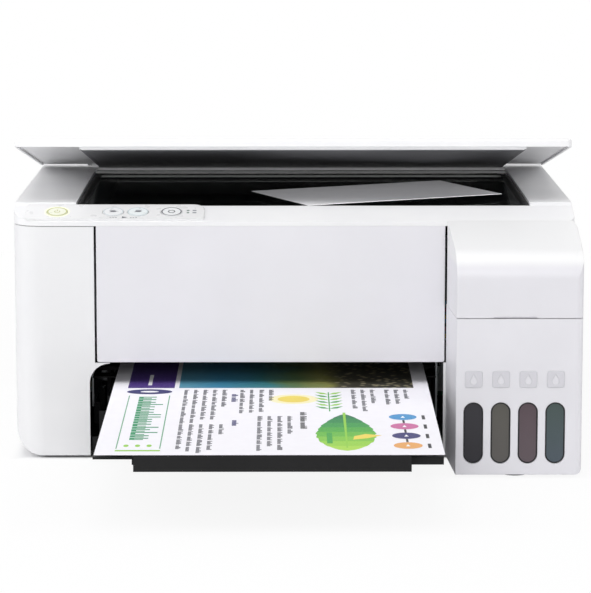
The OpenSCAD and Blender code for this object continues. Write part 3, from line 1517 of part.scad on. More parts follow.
placed() output_tray();
placed() tray_extension();
placed() printed_sheet();
placed() original_print();
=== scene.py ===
# %% [markdown]
# # An inkjet printer with ink tanks
#
# The object is a white desktop printer. A flatbed scanner with a lid lies on top, four ink
# tanks stand in a box at its front right, and a printed page lies on a black tray in front.
# Its shapes come from a CAD model. This script gives them finishes, and adds the thin and soft
# things that a CAD solid doesn't show well: button marks, ink on paper, a foam mat and felt.
#
# The CAD model is loaded as a fixed frame. Everything is in metres, with Z up and -Y to the
# front.

# %% Load the CAD frame
import math
import random

import bmesh
import bpy
from mathutils import Matrix, Vector


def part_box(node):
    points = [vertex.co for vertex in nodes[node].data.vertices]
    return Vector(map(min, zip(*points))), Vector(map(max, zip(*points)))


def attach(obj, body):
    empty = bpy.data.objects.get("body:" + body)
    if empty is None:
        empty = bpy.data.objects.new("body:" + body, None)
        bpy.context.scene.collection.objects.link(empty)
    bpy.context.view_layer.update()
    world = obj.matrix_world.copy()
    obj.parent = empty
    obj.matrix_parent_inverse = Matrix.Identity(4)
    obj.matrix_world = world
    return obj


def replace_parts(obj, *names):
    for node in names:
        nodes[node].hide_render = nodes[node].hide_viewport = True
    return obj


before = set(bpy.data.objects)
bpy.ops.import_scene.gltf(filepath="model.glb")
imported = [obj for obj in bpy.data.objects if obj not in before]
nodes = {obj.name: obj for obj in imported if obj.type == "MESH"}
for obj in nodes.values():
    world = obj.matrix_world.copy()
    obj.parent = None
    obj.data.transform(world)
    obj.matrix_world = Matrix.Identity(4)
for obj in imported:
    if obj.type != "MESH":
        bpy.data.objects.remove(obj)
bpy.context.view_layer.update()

# %% [markdown]
# ## Places that later steps measure from
#
# Positions come from the boxes of the CAD pieces, so a change of the CAD moves the details along
# with it. The sloping band with the buttons needs a small frame of its own, because what lies on
# it is tilted by the band's angle. In that frame x runs along the band and y up its slope.

# %% Measure the main planes
MM = 0.001
panel_low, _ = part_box("front_panel")
housing_low, housing_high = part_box("main_housing")
tank_low, tank_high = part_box("tank_housing")
_, top_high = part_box("scanner_top")
front_y = panel_low.y
half_w = housing_high.x
deck_z = top_high.z
print("front plane y", round(front_y / MM, 2), "deck z", round(deck_z / MM, 2))

# %% Make a frame for the sloping band
plate_low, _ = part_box("control_panel")
band_rise, band_depth = 7.5, 25
band_angle = math.atan2(band_rise, band_depth)
plate_start, plate_gap = 2, 0.02
band_start_z = plate_low.z - (plate_start * math.sin(band_angle) + plate_gap * math.cos(band_angle)) * MM
band_frame = Matrix.Translation((-half_w, front_y, band_start_z)) @ Matrix.Rotation(band_angle, 4, "X")
print("band starts at z", round(band_start_z / MM, 2), "slope in degrees", round(math.degrees(band_angle), 1))

# %% [markdown]
# ## Colours
#
# Colours are picked in sRGB, as a screen shows them, and written as hex. Blender's shaders work
# with linear light, so one function turns each hex value into linear numbers.

# %% Turn sRGB hex into linear light
def linear(hex_colour):
    """A colour written as sRGB hex, in the linear values that shaders use."""
    values = [int(hex_colour[i : i + 2], 16) / 255 for i in (1, 3, 5)]
    return [v / 12.92 if v <= 0.04045 else ((v + 0.055) / 1.055) ** 2.4 for v in values] + [1.0]


print("white ABS in linear light:", [round(v, 3) for v in linear("#eeeeef")])

# %% [markdown]
# ## Building a material
#
# A material is a small network of nodes. Three helpers keep its code short: one starts a
# material with its surface shader, one gives a node's inputs their values or links, and one adds
# a node and sets it in a single call.

# %% Start a material, feed a node and add one
def new_material(name, **surface):
    """A material with a Principled surface, and the values set on it."""
    material = bpy.data.materials.new(name)
    material.use_nodes = True
    shader = material.node_tree.nodes["Principled BSDF"]
    for key, value in surface.items():
        shader.inputs[key.replace("_", " ")].default_value = value
    return material, material.node_tree, shader


def feed(tree, node, inputs):
    """Gives a node's inputs their values, or links them to another node's output."""
    for name, value in inputs.items():
        if isinstance(value, bpy.types.NodeSocket):
            tree.links.new(value, node.inputs[name])
        else:
            node.inputs[name].default_value = value


def add_node(tree, kind, inputs=None, **settings):
    """One shader node with its settings and its inputs."""
    node = tree.nodes.new("ShaderNode" + kind)
    for name, value in settings.items():
        setattr(node, name, value)
    feed(tree, node, inputs or {})
    return node


# %% Give a CAD node its material
def finish(material, *names):
    """Puts a material on CAD nodes. Their meshes stay as they are."""
    for name in names:
        nodes[name].data.materials.clear()
        nodes[name].data.materials.append(material)
    print(material.name, "on", ", ".join(names))


# %% [markdown]
# ## Moulded plastic
#
# The housings are ABS, a hard plastic that is injection moulded. The mould's walls are eroded
# by sparks, which leaves a fine, even grain on the plastic. So the surface is dull, its
# highlights are soft, and its edges are round by half a millimetre and catch a thin line of
# light.
#
# The grain could be modelled, but it is far too small. It is made as a bump: noise with one
# bump per grain width, a few micrometres high. A second, broad noise shifts the colour by a
# percent or two, as the flow of the plastic in the mould does. A Bevel node bends the normals
# near the edges, which gives the round edge without any more faces.

# %% Make a moulded plastic
def moulded_plastic(name, colour, deep, roughness, grain_mm, height_mm, edge_mm=0.5, flow_mm=60, mirror=0.5):
    """Plastic out of a spark-grained mould. deep is a second tone that a broad noise mixes in, mirror its
    gloss.
    """
    material, tree, shader = new_material(name, IOR=1.53, Specular_IOR_Level=mirror)
    place = add_node(tree, "TexCoord").outputs["Object"]
    flow = add_node(tree, "TexNoise", {"Vector": place, "Scale": 1000 / flow_mm, "Detail": 3.0,
                                       "Roughness": 0.55}).outputs["Fac"]
    share = add_node(tree, "MapRange", {"Value": flow, "From Min": 0.35, "From Max": 0.65}).outputs["Result"]
    tone = add_node(tree, "Mix", {0: share, 6: linear(colour), 7: linear(deep)}, data_type="RGBA")
    patch_mm = grain_mm * 9
    patch = add_node(tree, "TexNoise", {"Vector": place, "Scale": 1000 / patch_mm}).outputs["Fac"]
    dull = add_node(tree, "MapRange", {"Value": patch, "From Min": 0.3, "From Max": 0.7,
                                       "To Min": roughness - 0.04, "To Max": roughness + 0.04})
    grain = add_node(tree, "TexNoise", {"Vector": place, "Scale": 1000 / grain_mm, "Detail": 1.0})
    edge = add_node(tree, "Bevel", {"Radius": edge_mm * MM}, samples=4).outputs["Normal"]
    bump = add_node(tree, "Bump", {"Distance": height_mm * MM, "Height": grain.outputs["Fac"],
                                   "Normal": edge})
    feed(tree, shader, {"Base Color": tone.outputs[2], "Roughness": dull.outputs["Result"],
                        "Normal": bump.outputs["Normal"]})
    return material, tree, shader


# %% [markdown]
# Three whites tell the parts of the shell apart, as they do on the real thing. The housing and
# the scanner's top are a neutral white. The front panel is moulded apart from them, in a
# slightly cooler white. The lid of the ink tanks is the smoothest one, as cool as the panel.
# Above the bend a lighter white is laid over its top: a painted highlight, for the light that
# falls on its upward face.

# %% Lay a colour over a part of a surface
def colour_over(tree, shader, share, colour):
    """Lays a colour over the one that is there, as far as share says."""
    there = shader.inputs["Base Color"].links[0].from_socket
    mixed = add_node(tree, "Mix", {0: share, 6: there, 7: linear(colour)}, data_type="RGBA")
    feed(tree, shader, {"Base Color": mixed.outputs[2]})


# %% White parts of the shell
housing_abs, _, _ = moulded_plastic("white_abs_spark_grained", "#eeeeef", "#eaeaec", 0.46, 0.45, 0.006)
finish(housing_abs, "lid_shell", "hinge_posts", "feeder_guard", "paper_support")

panel_abs, _, _ = moulded_plastic("cool_white_abs_panel", "#e2e1e6", "#dfdee3", 0.42, 0.4, 0.004, edge_mm=0.8)
finish(panel_abs, "front_panel")

cover_abs, tree, shader = moulded_plastic("satin_white_abs_cover_painted_top_light", "#e2e1e6", "#dfdee3", 0.36, 0.4, 0.003,
                                          edge_mm=0.8)
# The lighter white above the bend is a painted highlight on the cover's top.
bend_start, bend_end = 137 * MM, 143 * MM
place = add_node(tree, "TexCoord").outputs["Object"]
height = add_node(tree, "SeparateXYZ", {"Vector": place}).outputs["Z"]
painted_top_light = add_node(tree, "MapRange", {"Value": height, "From Min": bend_start, "From Max": bend_end},
                     interpolation_type="SMOOTHSTEP")
colour_over(tree, shader, painted_top_light.outputs["Result"], "#e8e8e9")
finish(cover_abs, "tank_cover")

# %% [markdown]
# ## The housing, white outside and shaded inside
#
# The shell is white through and through. Its inside is painted dark all the same: painted
# shade, for the dark that fills the closed case where little light gets in. A mask by place
# does this: what lies more than a millimetre behind the outer faces takes the dark tone. It
# needs no second piece.
# The shell's corners are round, so the mask measures like a rounded box: how far a point is past
# the middle of the nearest corner circle.

# %% Find what lies deep inside an outline
def within_outline(tree, place, low, high, seen_along, radius, skin):
    """1 for points further than skin inside a box's outline with round corners, as seen along one axis."""
    middle, half = (low + high) / 2, (high - low) / 2 - Vector((radius, radius, radius))
    keep = Vector((0 if axis == seen_along else 1 for axis in "XYZ"))
    step = place
    for operation, *operand in (("SUBTRACT", middle), ("ABSOLUTE",), ("SUBTRACT", half),
                                ("MAXIMUM", (0, 0, 0)), ("MULTIPLY", keep)):
        inputs = dict(enumerate((step, *operand)))
        step = add_node(tree, "VectorMath", inputs, operation=operation).outputs[0]
    reach = add_node(tree, "VectorMath", {0: step}, operation="LENGTH").outputs["Value"]
    return add_node(tree, "Math", {0: reach, 1: radius - skin}, operation="LESS_THAN").outputs[0]


# %% Housing with painted shade inside
shell_abs, tree, shader = moulded_plastic("white_abs_shell_painted_shade_inside", "#e8e8e9", "#e5e5e7",
                                          0.46, 0.45, 0.006)
place = add_node(tree, "TexCoord").outputs["Object"]
shell_low, shell_skin = Vector((-half_w, front_y, housing_low.z)), 1.3 * MM
plan_corner, front_corner = 20 * MM, 19 * MM
in_plan = within_outline(tree, place, shell_low, housing_high, "Z", plan_corner, shell_skin)
in_front = within_outline(tree, place, shell_low, housing_high, "Y", front_corner, shell_skin)
inside = add_node(tree, "Math", {0: in_plan, 1: in_front}, operation="MULTIPLY")
# The dark tone on the inner faces is painted shade.
colour_over(tree, shader, inside.outputs[0], "#19191b")
finish(shell_abs, "main_housing")

# %% [markdown]
# ## The scanner's top, with a black border under the glass
#
# The frame round the glass is the same white ABS. Its ledge, on which the glass lies, is covered
# with black tape, so that the scanner sees no light from the side. From above, the border of the
# glass is therefore black right up to its edge. The same mask finds the ledge: inside the outline
# of the glass and not above it.

# %% Scanner top with a taped ledge
glass_low, glass_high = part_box("platen_glass")
top_abs, tree, shader = moulded_plastic("white_abs_top_with_taped_ledge", "#eeeeef", "#eaeaec",
                                        0.46, 0.45, 0.006)
place = add_node(tree, "TexCoord").outputs["Object"]
slack = Vector((0.1, 0.1, 0)) * MM
in_glass = within_outline(tree, place, glass_low - slack, glass_high + slack, "Z", 0.3 * MM, 0)
height = add_node(tree, "SeparateXYZ", {"Vector": place}).outputs["Z"]
below = add_node(tree, "Math", {0: height, 1: glass_high.z - 0.2 * MM}, operation="LESS_THAN").outputs[0]
on_ledge = add_node(tree, "Math", {0: in_glass, 1: below}, operation="MULTIPLY")
colour_over(tree, shader, on_ledge.outputs[0], "#101011")
finish(top_abs, "scanner_top")

# %% [markdown]
# ## Box of the ink tanks
#
# The box is a light, cool grey. Four small square bezels stand 0.4 mm proud of its face, each
# with a drop sunk into it. They are printed a shade darker, and the drop keeps the box's grey.
# The shade follows a mask: whatever lies in front of the box's face belongs to a bezel.

# %% Tank box with darker bezels
tank_abs, tree, shader = moulded_plastic("light_grey_abs_tank_box", "#e4e3e8", "#e0dfe4", 0.42, 0.4, 0.004,
                                         edge_mm=0.8)
bezel_height = 0.4 * MM
place = add_node(tree, "TexCoord").outputs["Object"]
depth = add_node(tree, "SeparateXYZ", {"Vector": place}).outputs["Y"]
proud = add_node(tree, "Math", {0: depth, 1: tank_low.y + bezel_height / 2}, operation="LESS_THAN")
colour_over(tree, shader, proud.outputs[0], "#d2d1d7")
finish(tank_abs, "tank_housing")

# %% [markdown]
# ## Cover plate and buttons
#
# The plate over the buttons is polished and clear-coated, so it mirrors softly where the band
# round it is dull. The buttons are of the same plastic. The power button is faintly yellow, and
# the one for colour copies faintly blue.

# %% Gloss plate and button caps
plate_abs, _, shader = moulded_plastic("gloss_white_abs_plate", "#efeff0", "#ededee", 0.3, 0.8, 0.001,
                                       edge_mm=0.8)
shader.inputs["Coat Weight"].default_value = 0.35
shader.inputs["Coat Roughness"].default_value = 0.12
finish(plate_abs, "control_panel")

for name, colour, deep in (("power_button", "#f0f1e2", "#edefdc"), ("mono_button", "#eff0f1", "#ecedef"),
                           ("colour_button", "#edf2f3", "#e9eff1"), ("stop_button", "#eff0f1", "#ecedef")):
    cap_abs, _, _ = moulded_plastic("satin_abs_" + name, colour, deep, 0.3, 0.4, 0.002, flow_mm=8)
    finish(cap_abs, name)

# %% [markdown]
# ## Black and charcoal plastics
#
# Trays and the base are black ABS with a coarser grain, which scatters a grey sheen at low
# angles. The platen is black and filled with glass fibre. The paper feeder and the carriage are
# charcoal, a glass-filled plastic too, a little lighter and duller. The scanner's pan is matt.

# %% Black trays and charcoal carriers
black_abs, _, _ = moulded_plastic("black_abs_coarse_grain", "#161617", "#121213", 0.5, 0.7, 0.012,
                                  mirror=0.18)
finish(black_abs, "output_tray", "tray_extension", "base_tray")

platen_abs, _, _ = moulded_plastic("black_glass_filled_platen", "#151516", "#111112", 0.55, 0.6, 0.01,
                                   mirror=0.2)
finish(platen_abs, "platen", "exit_roller")

carrier_abs, _, _ = moulded_plastic("charcoal_glass_filled_carrier", "#3a3b3e", "#333437", 0.58, 0.6, 0.012,
                                    flow_mm=25, mirror=0.35)
finish(carrier_abs, "rear_feeder", "hopper_plate", "edge_guide", "print_carriage", "cap_station")

scan_abs, _, _ = moulded_plastic("matt_black_scanner_pan", "#121213", "#0e0e0f", 0.62, 0.6, 0.01, mirror=0.15)
finish(scan_abs, "scanner_base", "scan_carriage")

# %% [markdown]
# ## Glass of the scanner
#
# The bed is a sheet of float glass, 3 mm thick, perfectly flat and clear. Below it lies a black
# pan, so from above it reads as black with a mirror image at low angles. Light has to reach the
# carriage below. Cycles lets no lamp light through a refracting pane directly, so a Light Path
# node swaps the glass for a clear Transparent shader for shadow rays. The same clear shader
# takes most of the mirror image away, as the coating on scanner glass does. Such glass is
# faintly green, and a thin haze of dust lies on it.
#
# The border is painted from below. It is black along the rim, to keep light from the side out.
# Near the hinges it has a white strip: a painted reflection, for the light line that the glass
# mirrors there.

# %% Float glass
float_glass, tree, shader = new_material("float_glass_clear", IOR=1.52, Transmission_Weight=1.0,
                                         Specular_IOR_Level=0.22)
place = add_node(tree, "TexCoord").outputs["Object"]
dust = add_node(tree, "TexNoise", {"Vector": place, "Scale": 1000 / 22, "Detail": 5.0}).outputs["Fac"]
haze = add_node(tree, "MapRange", {"Value": dust, "From Min": 0.5, "From Max": 0.8, "To Max": 0.05})
feed(tree, shader, {"Base Color": linear("#e4ece8"), "Roughness": haze.outputs["Result"]})
shadow = add_node(tree, "LightPath").outputs["Is Shadow Ray"]
unmirrored = 0.84
see_through = add_node(tree, "Math", {0: shadow, 1: unmirrored}, operation="MAXIMUM").outputs[0]
clear = add_node(tree, "BsdfTransparent", {"Color": linear("#dadcdb")}).outputs[0]
pane = add_node(tree, "MixShader", {0: see_through, 1: shader.outputs[0], 2: clear}).outputs[0]

# %% Painted border of the glass
rear_border, reflection_strip_back, reflection_strip_half = 17 * MM, 13 * MM, 6.5 * MM
clear_corner, paint_width = 3 * MM, 2 * MM
clear_high = glass_high - Vector((0, rear_border, 0))
bare = within_outline(tree, place, glass_low, clear_high, "Z", clear_corner, paint_width)
painted = add_node(tree, "Math", {0: 1.0, 1: bare}, operation="SUBTRACT").outputs[0]
depth = add_node(tree, "SeparateXYZ", {"Vector": place}).outputs["Y"]
rear = add_node(tree, "Math", {0: depth, 1: glass_high.y - reflection_strip_back, 2: reflection_strip_half},
                operation="COMPARE").outputs[0]
# The white strip near the hinges is a painted reflection.
strip = add_node(tree, "Math", {0: rear, 1: painted}, operation="MULTIPLY").outputs[0]
hue = add_node(tree, "Mix", {0: strip, 6: linear("#0d0d0e"), 7: linear("#f6f6f6")}, data_type="RGBA")
border = add_node(tree, "BsdfPrincipled", {"Base Color": hue.outputs[2], "Roughness": 0.4,
                                           "Specular IOR Level": 0.2})
glazed = add_node(tree, "MixShader", {0: painted, 1: pane, 2: border.outputs[0]})
feed(tree, tree.nodes["Material Output"], {"Surface": glazed.outputs[0]})
finish(float_glass, "platen_glass")
print("glass of", [round(v / MM) for v in glass_high - glass_low], "mm")

# %% [markdown]
# ## Metals
#
# The frame is sheet steel, galvanised: molten zinc freezes on it in flat crystals, the spangle,
# each a slightly different grey. A Voronoi pattern with cells of about 6 mm draws them. The
# motors' cans and the power supply's box have the same coat. Star wheels and the scanner's drive
# are bright stainless steel with fine marks from the tool. The pinion is pressed brass, and the
# screws are blackened.

# %% Galvanised steel with spangle
zinc_steel, tree, shader = new_material("galvanised_sheet_steel", Metallic=1.0)
place = add_node(tree, "TexCoord").outputs["Object"]
crystal = add_node(tree, "TexVoronoi", {"Vector": place, "Scale": 1000 / 6, "Randomness": 1.0})
grey = add_node(tree, "SeparateColor", {"Color": crystal.outputs["Color"]}).outputs
tone = add_node(tree, "Mix", {0: grey["Red"], 6: linear("#a7abae"), 7: linear("#b9bdbf")}, data_type="RGBA")
dull = add_node(tree, "MapRange", {"Value": grey["Green"], "To Min": 0.28, "To Max": 0.42})
feed(tree, shader, {"Base Color": tone.outputs[2], "Roughness": dull.outputs["Result"]})
finish(zinc_steel, "main_frame", "power_supply", "drive_motors")


# %% Bright metals
def worked_metal(name, colour, deep, roughness, scratch_mm):
    """A turned or pressed metal, with fine marks from the tool."""
    material, tree, shader = new_material(name, Metallic=1.0)
    place = add_node(tree, "TexCoord").outputs["Object"]
    marks = add_node(tree, "TexNoise", {"Vector": place, "Scale": 1000 / scratch_mm,
                                        "Detail": 4.0}).outputs["Fac"]
    tone = add_node(tree, "Mix", {0: marks, 6: linear(colour), 7: linear(deep)}, data_type="RGBA")
    dull = add_node(tree, "MapRange", {"Value": marks, "To Min": roughness - 0.07,
                                       "To Max": roughness + 0.07})
    feed(tree, shader, {"Base Color": tone.outputs[2], "Roughness": dull.outputs["Result"]})
    return material


finish(worked_metal("stainless_steel_turned", "#c9ccce", "#b2b5b8", 0.24, 0.8), "star_wheels", "scan_drive")
finish(worked_metal("brass_pressed_pinion", "#d9b867", "#b48f3f", 0.3, 0.6), "feed_pinion")
finish(worked_metal("blackened_steel_screws", "#57585b", "#434447", 0.38, 0.5), "housing_screws")

# %% [markdown]
# ## Small plastics, rubber and grit inside
#
# Gears and pulleys are natural acetal, a milky, slightly waxy plastic. Feet, pick-up roller,
# pinch rollers and belt are black rubber. The feed roller is a steel tube with ceramic grit on
# it, which grips the paper, so it sparkles in tiny points. The print head is grey resin.

# %% Acetal, rubber and ceramic grit
def waxy(shader, weight, depth):
    """Lets light sink into a surface."""
    shader.inputs["Subsurface Weight"].default_value = weight
    shader.inputs["Subsurface Scale"].default_value = depth


acetal, _, shader = moulded_plastic("acetal_natural", "#e6e3da", "#dcd8cc", 0.36, 0.3, 0.002, edge_mm=0.2,
                                    flow_mm=8)
waxy(shader, 0.12, 1 * MM)
finish(acetal, "transfer_gear", "motor_pulley", "idler_pulley")

rubber, _, _ = moulded_plastic("black_rubber_moulded", "#232325", "#1c1c1e", 0.72, 0.5, 0.02, edge_mm=0.4,
                               flow_mm=15)
finish(rubber, "rubber_feet", "pickup_roller", "pinch_rollers", "carriage_belt")

grit, _, shader = moulded_plastic("ceramic_grit_on_steel_tube", "#62656a", "#4f5256", 0.4, 0.25, 0.03,
                                  flow_mm=3)
shader.inputs["Metallic"].default_value = 0.6
finish(grit, "feed_roller")

head_resin, _, _ = moulded_plastic("grey_resin_print_head", "#77797d", "#6a6c70", 0.4, 0.4, 0.004, flow_mm=12)
finish(head_resin, "print_head")

# %% [markdown]
# ## Board and mains inlet
#
# The board is glass-fibre laminate under a green solder mask, with copper tracks that shine
# through as slightly lighter lines. A Brick pattern with thin gaps stands for the tracks. The
# parts soldered on it are higher than the laminate, so a mask by height gives them their own
# dark grey. The mains inlet at the back is black nylon.

# %% Circuit board
board_low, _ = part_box("main_board")
board_mask, tree, shader = new_material("solder_mask_green", Roughness=0.32, IOR=1.5)
place = add_node(tree, "TexCoord").outputs["Object"]
tracks = add_node(tree, "TexBrick", {"Vector": place, "Scale": 1000 / 12, "Mortar Size": 0.03,
                                     "Color1": linear("#1f5a3a"), "Color2": linear("#24633f"),
                                     "Mortar": linear("#3f8a5c")})
laminate_top = board_low.z + 18.2 * MM
height = add_node(tree, "SeparateXYZ", {"Vector": place}).outputs["Z"]
lifted = add_node(tree, "Math", {0: height, 1: laminate_top}, operation="GREATER_THAN").outputs[0]
tone = add_node(tree, "Mix", {0: lifted, 6: tracks.outputs["Color"], 7: linear("#3c3d40")}, data_type="RGBA")
feed(tree, shader, {"Base Color": tone.outputs[2]})
finish(board_mask, "main_board")

nylon, _, _ = moulded_plastic("black_nylon_inlet", "#202022", "#1a1a1c", 0.5, 0.5, 0.01, flow_mm=12)
finish(nylon, "ac_inlet")

# %% [markdown]
# ## Ink tanks
#
# Each tank is blow-moulded polypropylene, a milky plastic, filled with ink almost to its top.
# Through the window one sees the ink, not the plastic, under a smooth, wet-looking wall. So the
# colour changes with height: ink up to its level and milky plastic above. Full inks look nearly
# black. Only a hint of their hue is left, and it shifts a little from top to bottom. Round the
# window's rim a dark ring is painted: painted shade, for the shade where the wall bends back.

# %% Windows of the ink tanks
tank_inks = {"black": ("#2b2a2f", "#2f2e33"), "yellow": ("#5a5755", "#585650"),
             "magenta": ("#5e5358", "#57494f"), "cyan": ("#4b555e", "#455350")}
window_r, window_bottom, window_top = 6.45 * MM, 9.4 * MM, 50.1 * MM
rim_shade_width = 1.0 * MM
ink_level = tank_high.z - 14 * MM


def in_window(tree, place, middle):
    """1 for points inside the rim of the round-ended window at one tank."""
    low = Vector((middle - window_r, 0, window_bottom))
    high = Vector((middle + window_r, 0, window_top))
    return within_outline(tree, place, low, high, "Y", window_r, rim_shade_width)


# %% Ink seen through the tank wall
def ink_tank(name, middle, low_ink, high_ink):
    """Milky polypropylene with ink behind it. low_ink and high_ink are its hues near floor and top."""
    material, tree, shader = new_material(name, Roughness=0.34, IOR=1.49, Specular_IOR_Level=0.25,
                                          Coat_Weight=0.12, Coat_Roughness=0.08)
    place = add_node(tree, "TexCoord").outputs["Object"]
    height = add_node(tree, "SeparateXYZ", {"Vector": place}).outputs["Z"]
    rise = add_node(tree, "MapRange", {"Value": height, "From Min": window_bottom, "From Max": window_top})
    swirl = add_node(tree, "TexNoise", {"Vector": place, "Scale": 1000 / 14}).outputs["Fac"]
    swirled = add_node(tree, "Math", {0: swirl, 1: 0.25, 2: rise.outputs["Result"]}, operation="MULTIPLY_ADD")
    share = add_node(tree, "Math", {0: swirled.outputs[0], 1: 0.12}, operation="SUBTRACT", use_clamp=True)
    ink = add_node(tree, "Mix", {0: share.outputs[0], 6: linear(low_ink), 7: linear(high_ink)},
                   data_type="RGBA")
    above = add_node(tree, "Math", {0: height, 1: ink_level}, operation="GREATER_THAN").outputs[0]
    wall = add_node(tree, "Mix", {0: above, 6: ink.outputs[2], 7: linear("#b9b9b8")}, data_type="RGBA")
    clear = in_window(tree, place, middle)
    # The dark ring round the window's rim is painted shade.
    with_painted_rim_shade = add_node(tree, "Mix", {0: clear, 6: linear("#1b1b1e"), 7: wall.outputs[2]}, data_type="RGBA")
    grain = add_node(tree, "TexNoise", {"Vector": place, "Scale": 1000 / 2.5}).outputs["Fac"]
    bump = add_node(tree, "Bump", {"Distance": 0.01 * MM, "Height": grain})
    feed(tree, shader, {"Base Color": with_painted_rim_shade.outputs[2], "Normal": bump.outputs["Normal"]})
    return material


for ink_name, hues in tank_inks.items():
    low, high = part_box("tank_" + ink_name)
    finish(ink_tank(f"polypropylene_{ink_name}_ink", (low.x + high.x) / 2, *hues), "tank_" + ink_name)
print("ink level at", round(ink_level / MM, 1), "mm")

# %% [markdown]
# The stoppers are polypropylene too, dyed in the colour of their ink, so nobody fills the wrong
# tank. They are a little waxy and smooth.

# %% Dyed stoppers
for name, colour, deep in (("cap_black", "#2b2b2e", "#242427"), ("cap_yellow", "#e0bd22", "#d2ad18"),
                           ("cap_magenta", "#b7346d", "#a52a60"), ("cap_cyan", "#2f8dbb", "#257ba8")):
    dyed, _, shader = moulded_plastic("dyed_polypropylene_" + name, colour, deep, 0.34, 0.5, 0.004,
                                      edge_mm=0.4, flow_mm=10)
    waxy(shader, 0.06, 1.5 * MM)
    finish(dyed, name)

# %% [markdown]
# ## Ink tubes
#
# Four clear hoses lie above each other, each full of one ink. A constant colour ramp over the
# height picks the ink of each hose.

# %% Clear hoses with four inks
def set_stops(ramp, stops):
    """Gives a colour ramp its stops, each a place from 0 to 1 and a hex colour."""
    for number, (at, colour) in enumerate(stops):
        stop = ramp.elements[number] if number < 2 else ramp.elements.new(at)
        stop.position, stop.color = at, linear(colour)


tube_low, tube_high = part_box("ink_tubes")
hose, tree, shader = new_material("clear_pvc_hose", Roughness=0.22, IOR=1.53, Coat_Weight=0.5,
                                  Coat_Roughness=0.05)
place = add_node(tree, "TexCoord").outputs["Object"]
height = add_node(tree, "SeparateXYZ", {"Vector": place}).outputs["Z"]
rise = add_node(tree, "MapRange", {"Value": height, "From Min": tube_low.z, "From Max": tube_high.z})
hues = add_node(tree, "ValToRGB", {"Fac": rise.outputs["Result"]})
hues.color_ramp.interpolation = "CONSTANT"
set_stops(hues.color_ramp, ((0.0, "#1c1c1f"), (0.22, "#8a7420"), (0.5, "#70284a"), (0.78, "#245a74")))
ripple = add_node(tree, "TexNoise", {"Vector": place, "Scale": 1000 / 9}).outputs["Fac"]
bump = add_node(tree, "Bump", {"Distance": 0.1 * MM, "Strength": 0.4, "Height": ripple})
feed(tree, shader, {"Base Color": hues.outputs["Color"], "Normal": bump.outputs["Normal"]})
finish(hose, "ink_tubes")
print("hoses over", round((tube_high.z - tube_low.z) / MM, 1), "mm of height")

# %% [markdown]
# ## Signal lights
#
# Two small light guides stand beside the stop button. They are acrylic rods, frosted at the end,
# with a lamp below. Off, they look like pale green dots.

# %% Acrylic light guides
guide, tree, shader = new_material("acrylic_light_guide", Roughness=0.25, IOR=1.49, Coat_Weight=0.4)
place = add_node(tree, "TexCoord").outputs["Object"]
frost = add_node(tree, "TexNoise", {"Vector": place, "Scale": 1000 / 0.5}).outputs["Fac"]
tone = add_node(tree, "Mix", {0: frost, 6: linear("#7f8f88"), 7: linear("#93a39b")}, data_type="RGBA")
feed(tree, shader, {"Base Color": tone.outputs[2]})
finish(guide, "indicator_lights")

# %% [markdown]
# ## Paper
#
# Copy paper is pressed from fibres. At arm's length it is a flat white, but close up it is
# cloudy and slightly rough. Two noises do that: clouds of 8 mm in the tone, and fibres of 0.4 mm
# in the bump. The small print is on heavier, smoother stock, and lies face down.

# %% Copy paper and heavy print paper
def paper(name, colour, deep, roughness, fibre_mm):
    """Pressed fibres: cloudy in tone and slightly rough."""
    material, tree, shader = new_material(name, IOR=1.47, Roughness=roughness)
    place = add_node(tree, "TexCoord").outputs["Object"]
    cloud = add_node(tree, "TexNoise", {"Vector": place, "Scale": 1000 / 8, "Detail": 3.0}).outputs["Fac"]
    tone = add_node(tree, "Mix", {0: cloud, 6: linear(colour), 7: linear(deep)}, data_type="RGBA")
    fibre = add_node(tree, "TexNoise", {"Vector": place, "Scale": 1000 / fibre_mm, "Detail": 4.0})
    bump = add_node(tree, "Bump", {"Distance": 0.01 * MM, "Height": fibre.outputs["Fac"]})
    feed(tree, shader, {"Base Color": tone.outputs[2], "Normal": bump.outputs["Normal"]})
    return material


finish(paper("copy_paper_white", "#f1f0f5", "#eceaf0", 0.85, 0.4), "printed_sheet")
finish(paper("photo_paper_back", "#eaeaec", "#e3e3e6", 0.55, 0.8), "original_print")

# %% [markdown]
# ## Marks as thin sheets
#
# Printed marks, on the page and on the buttons, are ink layers with sharp outlines. An image
# would do it, but it wouldn't be drawn by the script. So every mark is a flat polygon that lies
# a few hundredths of a millimetre above its ground. Marks of one kind share a mesh, with one
# material for each ink.

# %% Make an ink
def ink_colour(name, hex_colour, roughness=0.6, glow=0.0):
    """A printed ink: the hue of its dots, uneven by a few percent where the paper shows through."""
    material, tree, shader = new_material(name, Roughness=roughness)
    place = add_node(tree, "TexCoord").outputs["Object"]
    dots = add_node(tree, "TexNoise", {"Vector": place, "Scale": 1000 / 1.2}).outputs["Fac"]
    thin = add_node(tree, "MapRange", {"Value": dots, "From Min": 0.4, "From Max": 0.7, "To Max": 0.05})
    tone = add_node(tree, "Mix", {0: thin.outputs["Result"], 6: linear(hex_colour), 7: linear("#f1f0f5")},
                    data_type="RGBA")
    feed(tree, shader, {"Base Color": tone.outputs[2]})
    if glow:
        feed(tree, shader, {"Emission Color": linear(hex_colour), "Emission Strength": glow})
    return material


# %% Collect polygons into one mesh
def new_piece(name, data):
    """An object for a mesh, a curve, a lamp or a lens, put into the scene."""
    piece = bpy.data.objects.new(name, data)
    bpy.context.scene.collection.objects.link(piece)
    return piece


def piece_from(work, name):
    """A bmesh, which is Blender's workbench for meshes, turned into a piece."""
    mesh = bpy.data.meshes.new(name)
    work.to_mesh(mesh)
    work.free()
    return new_piece(name, mesh)


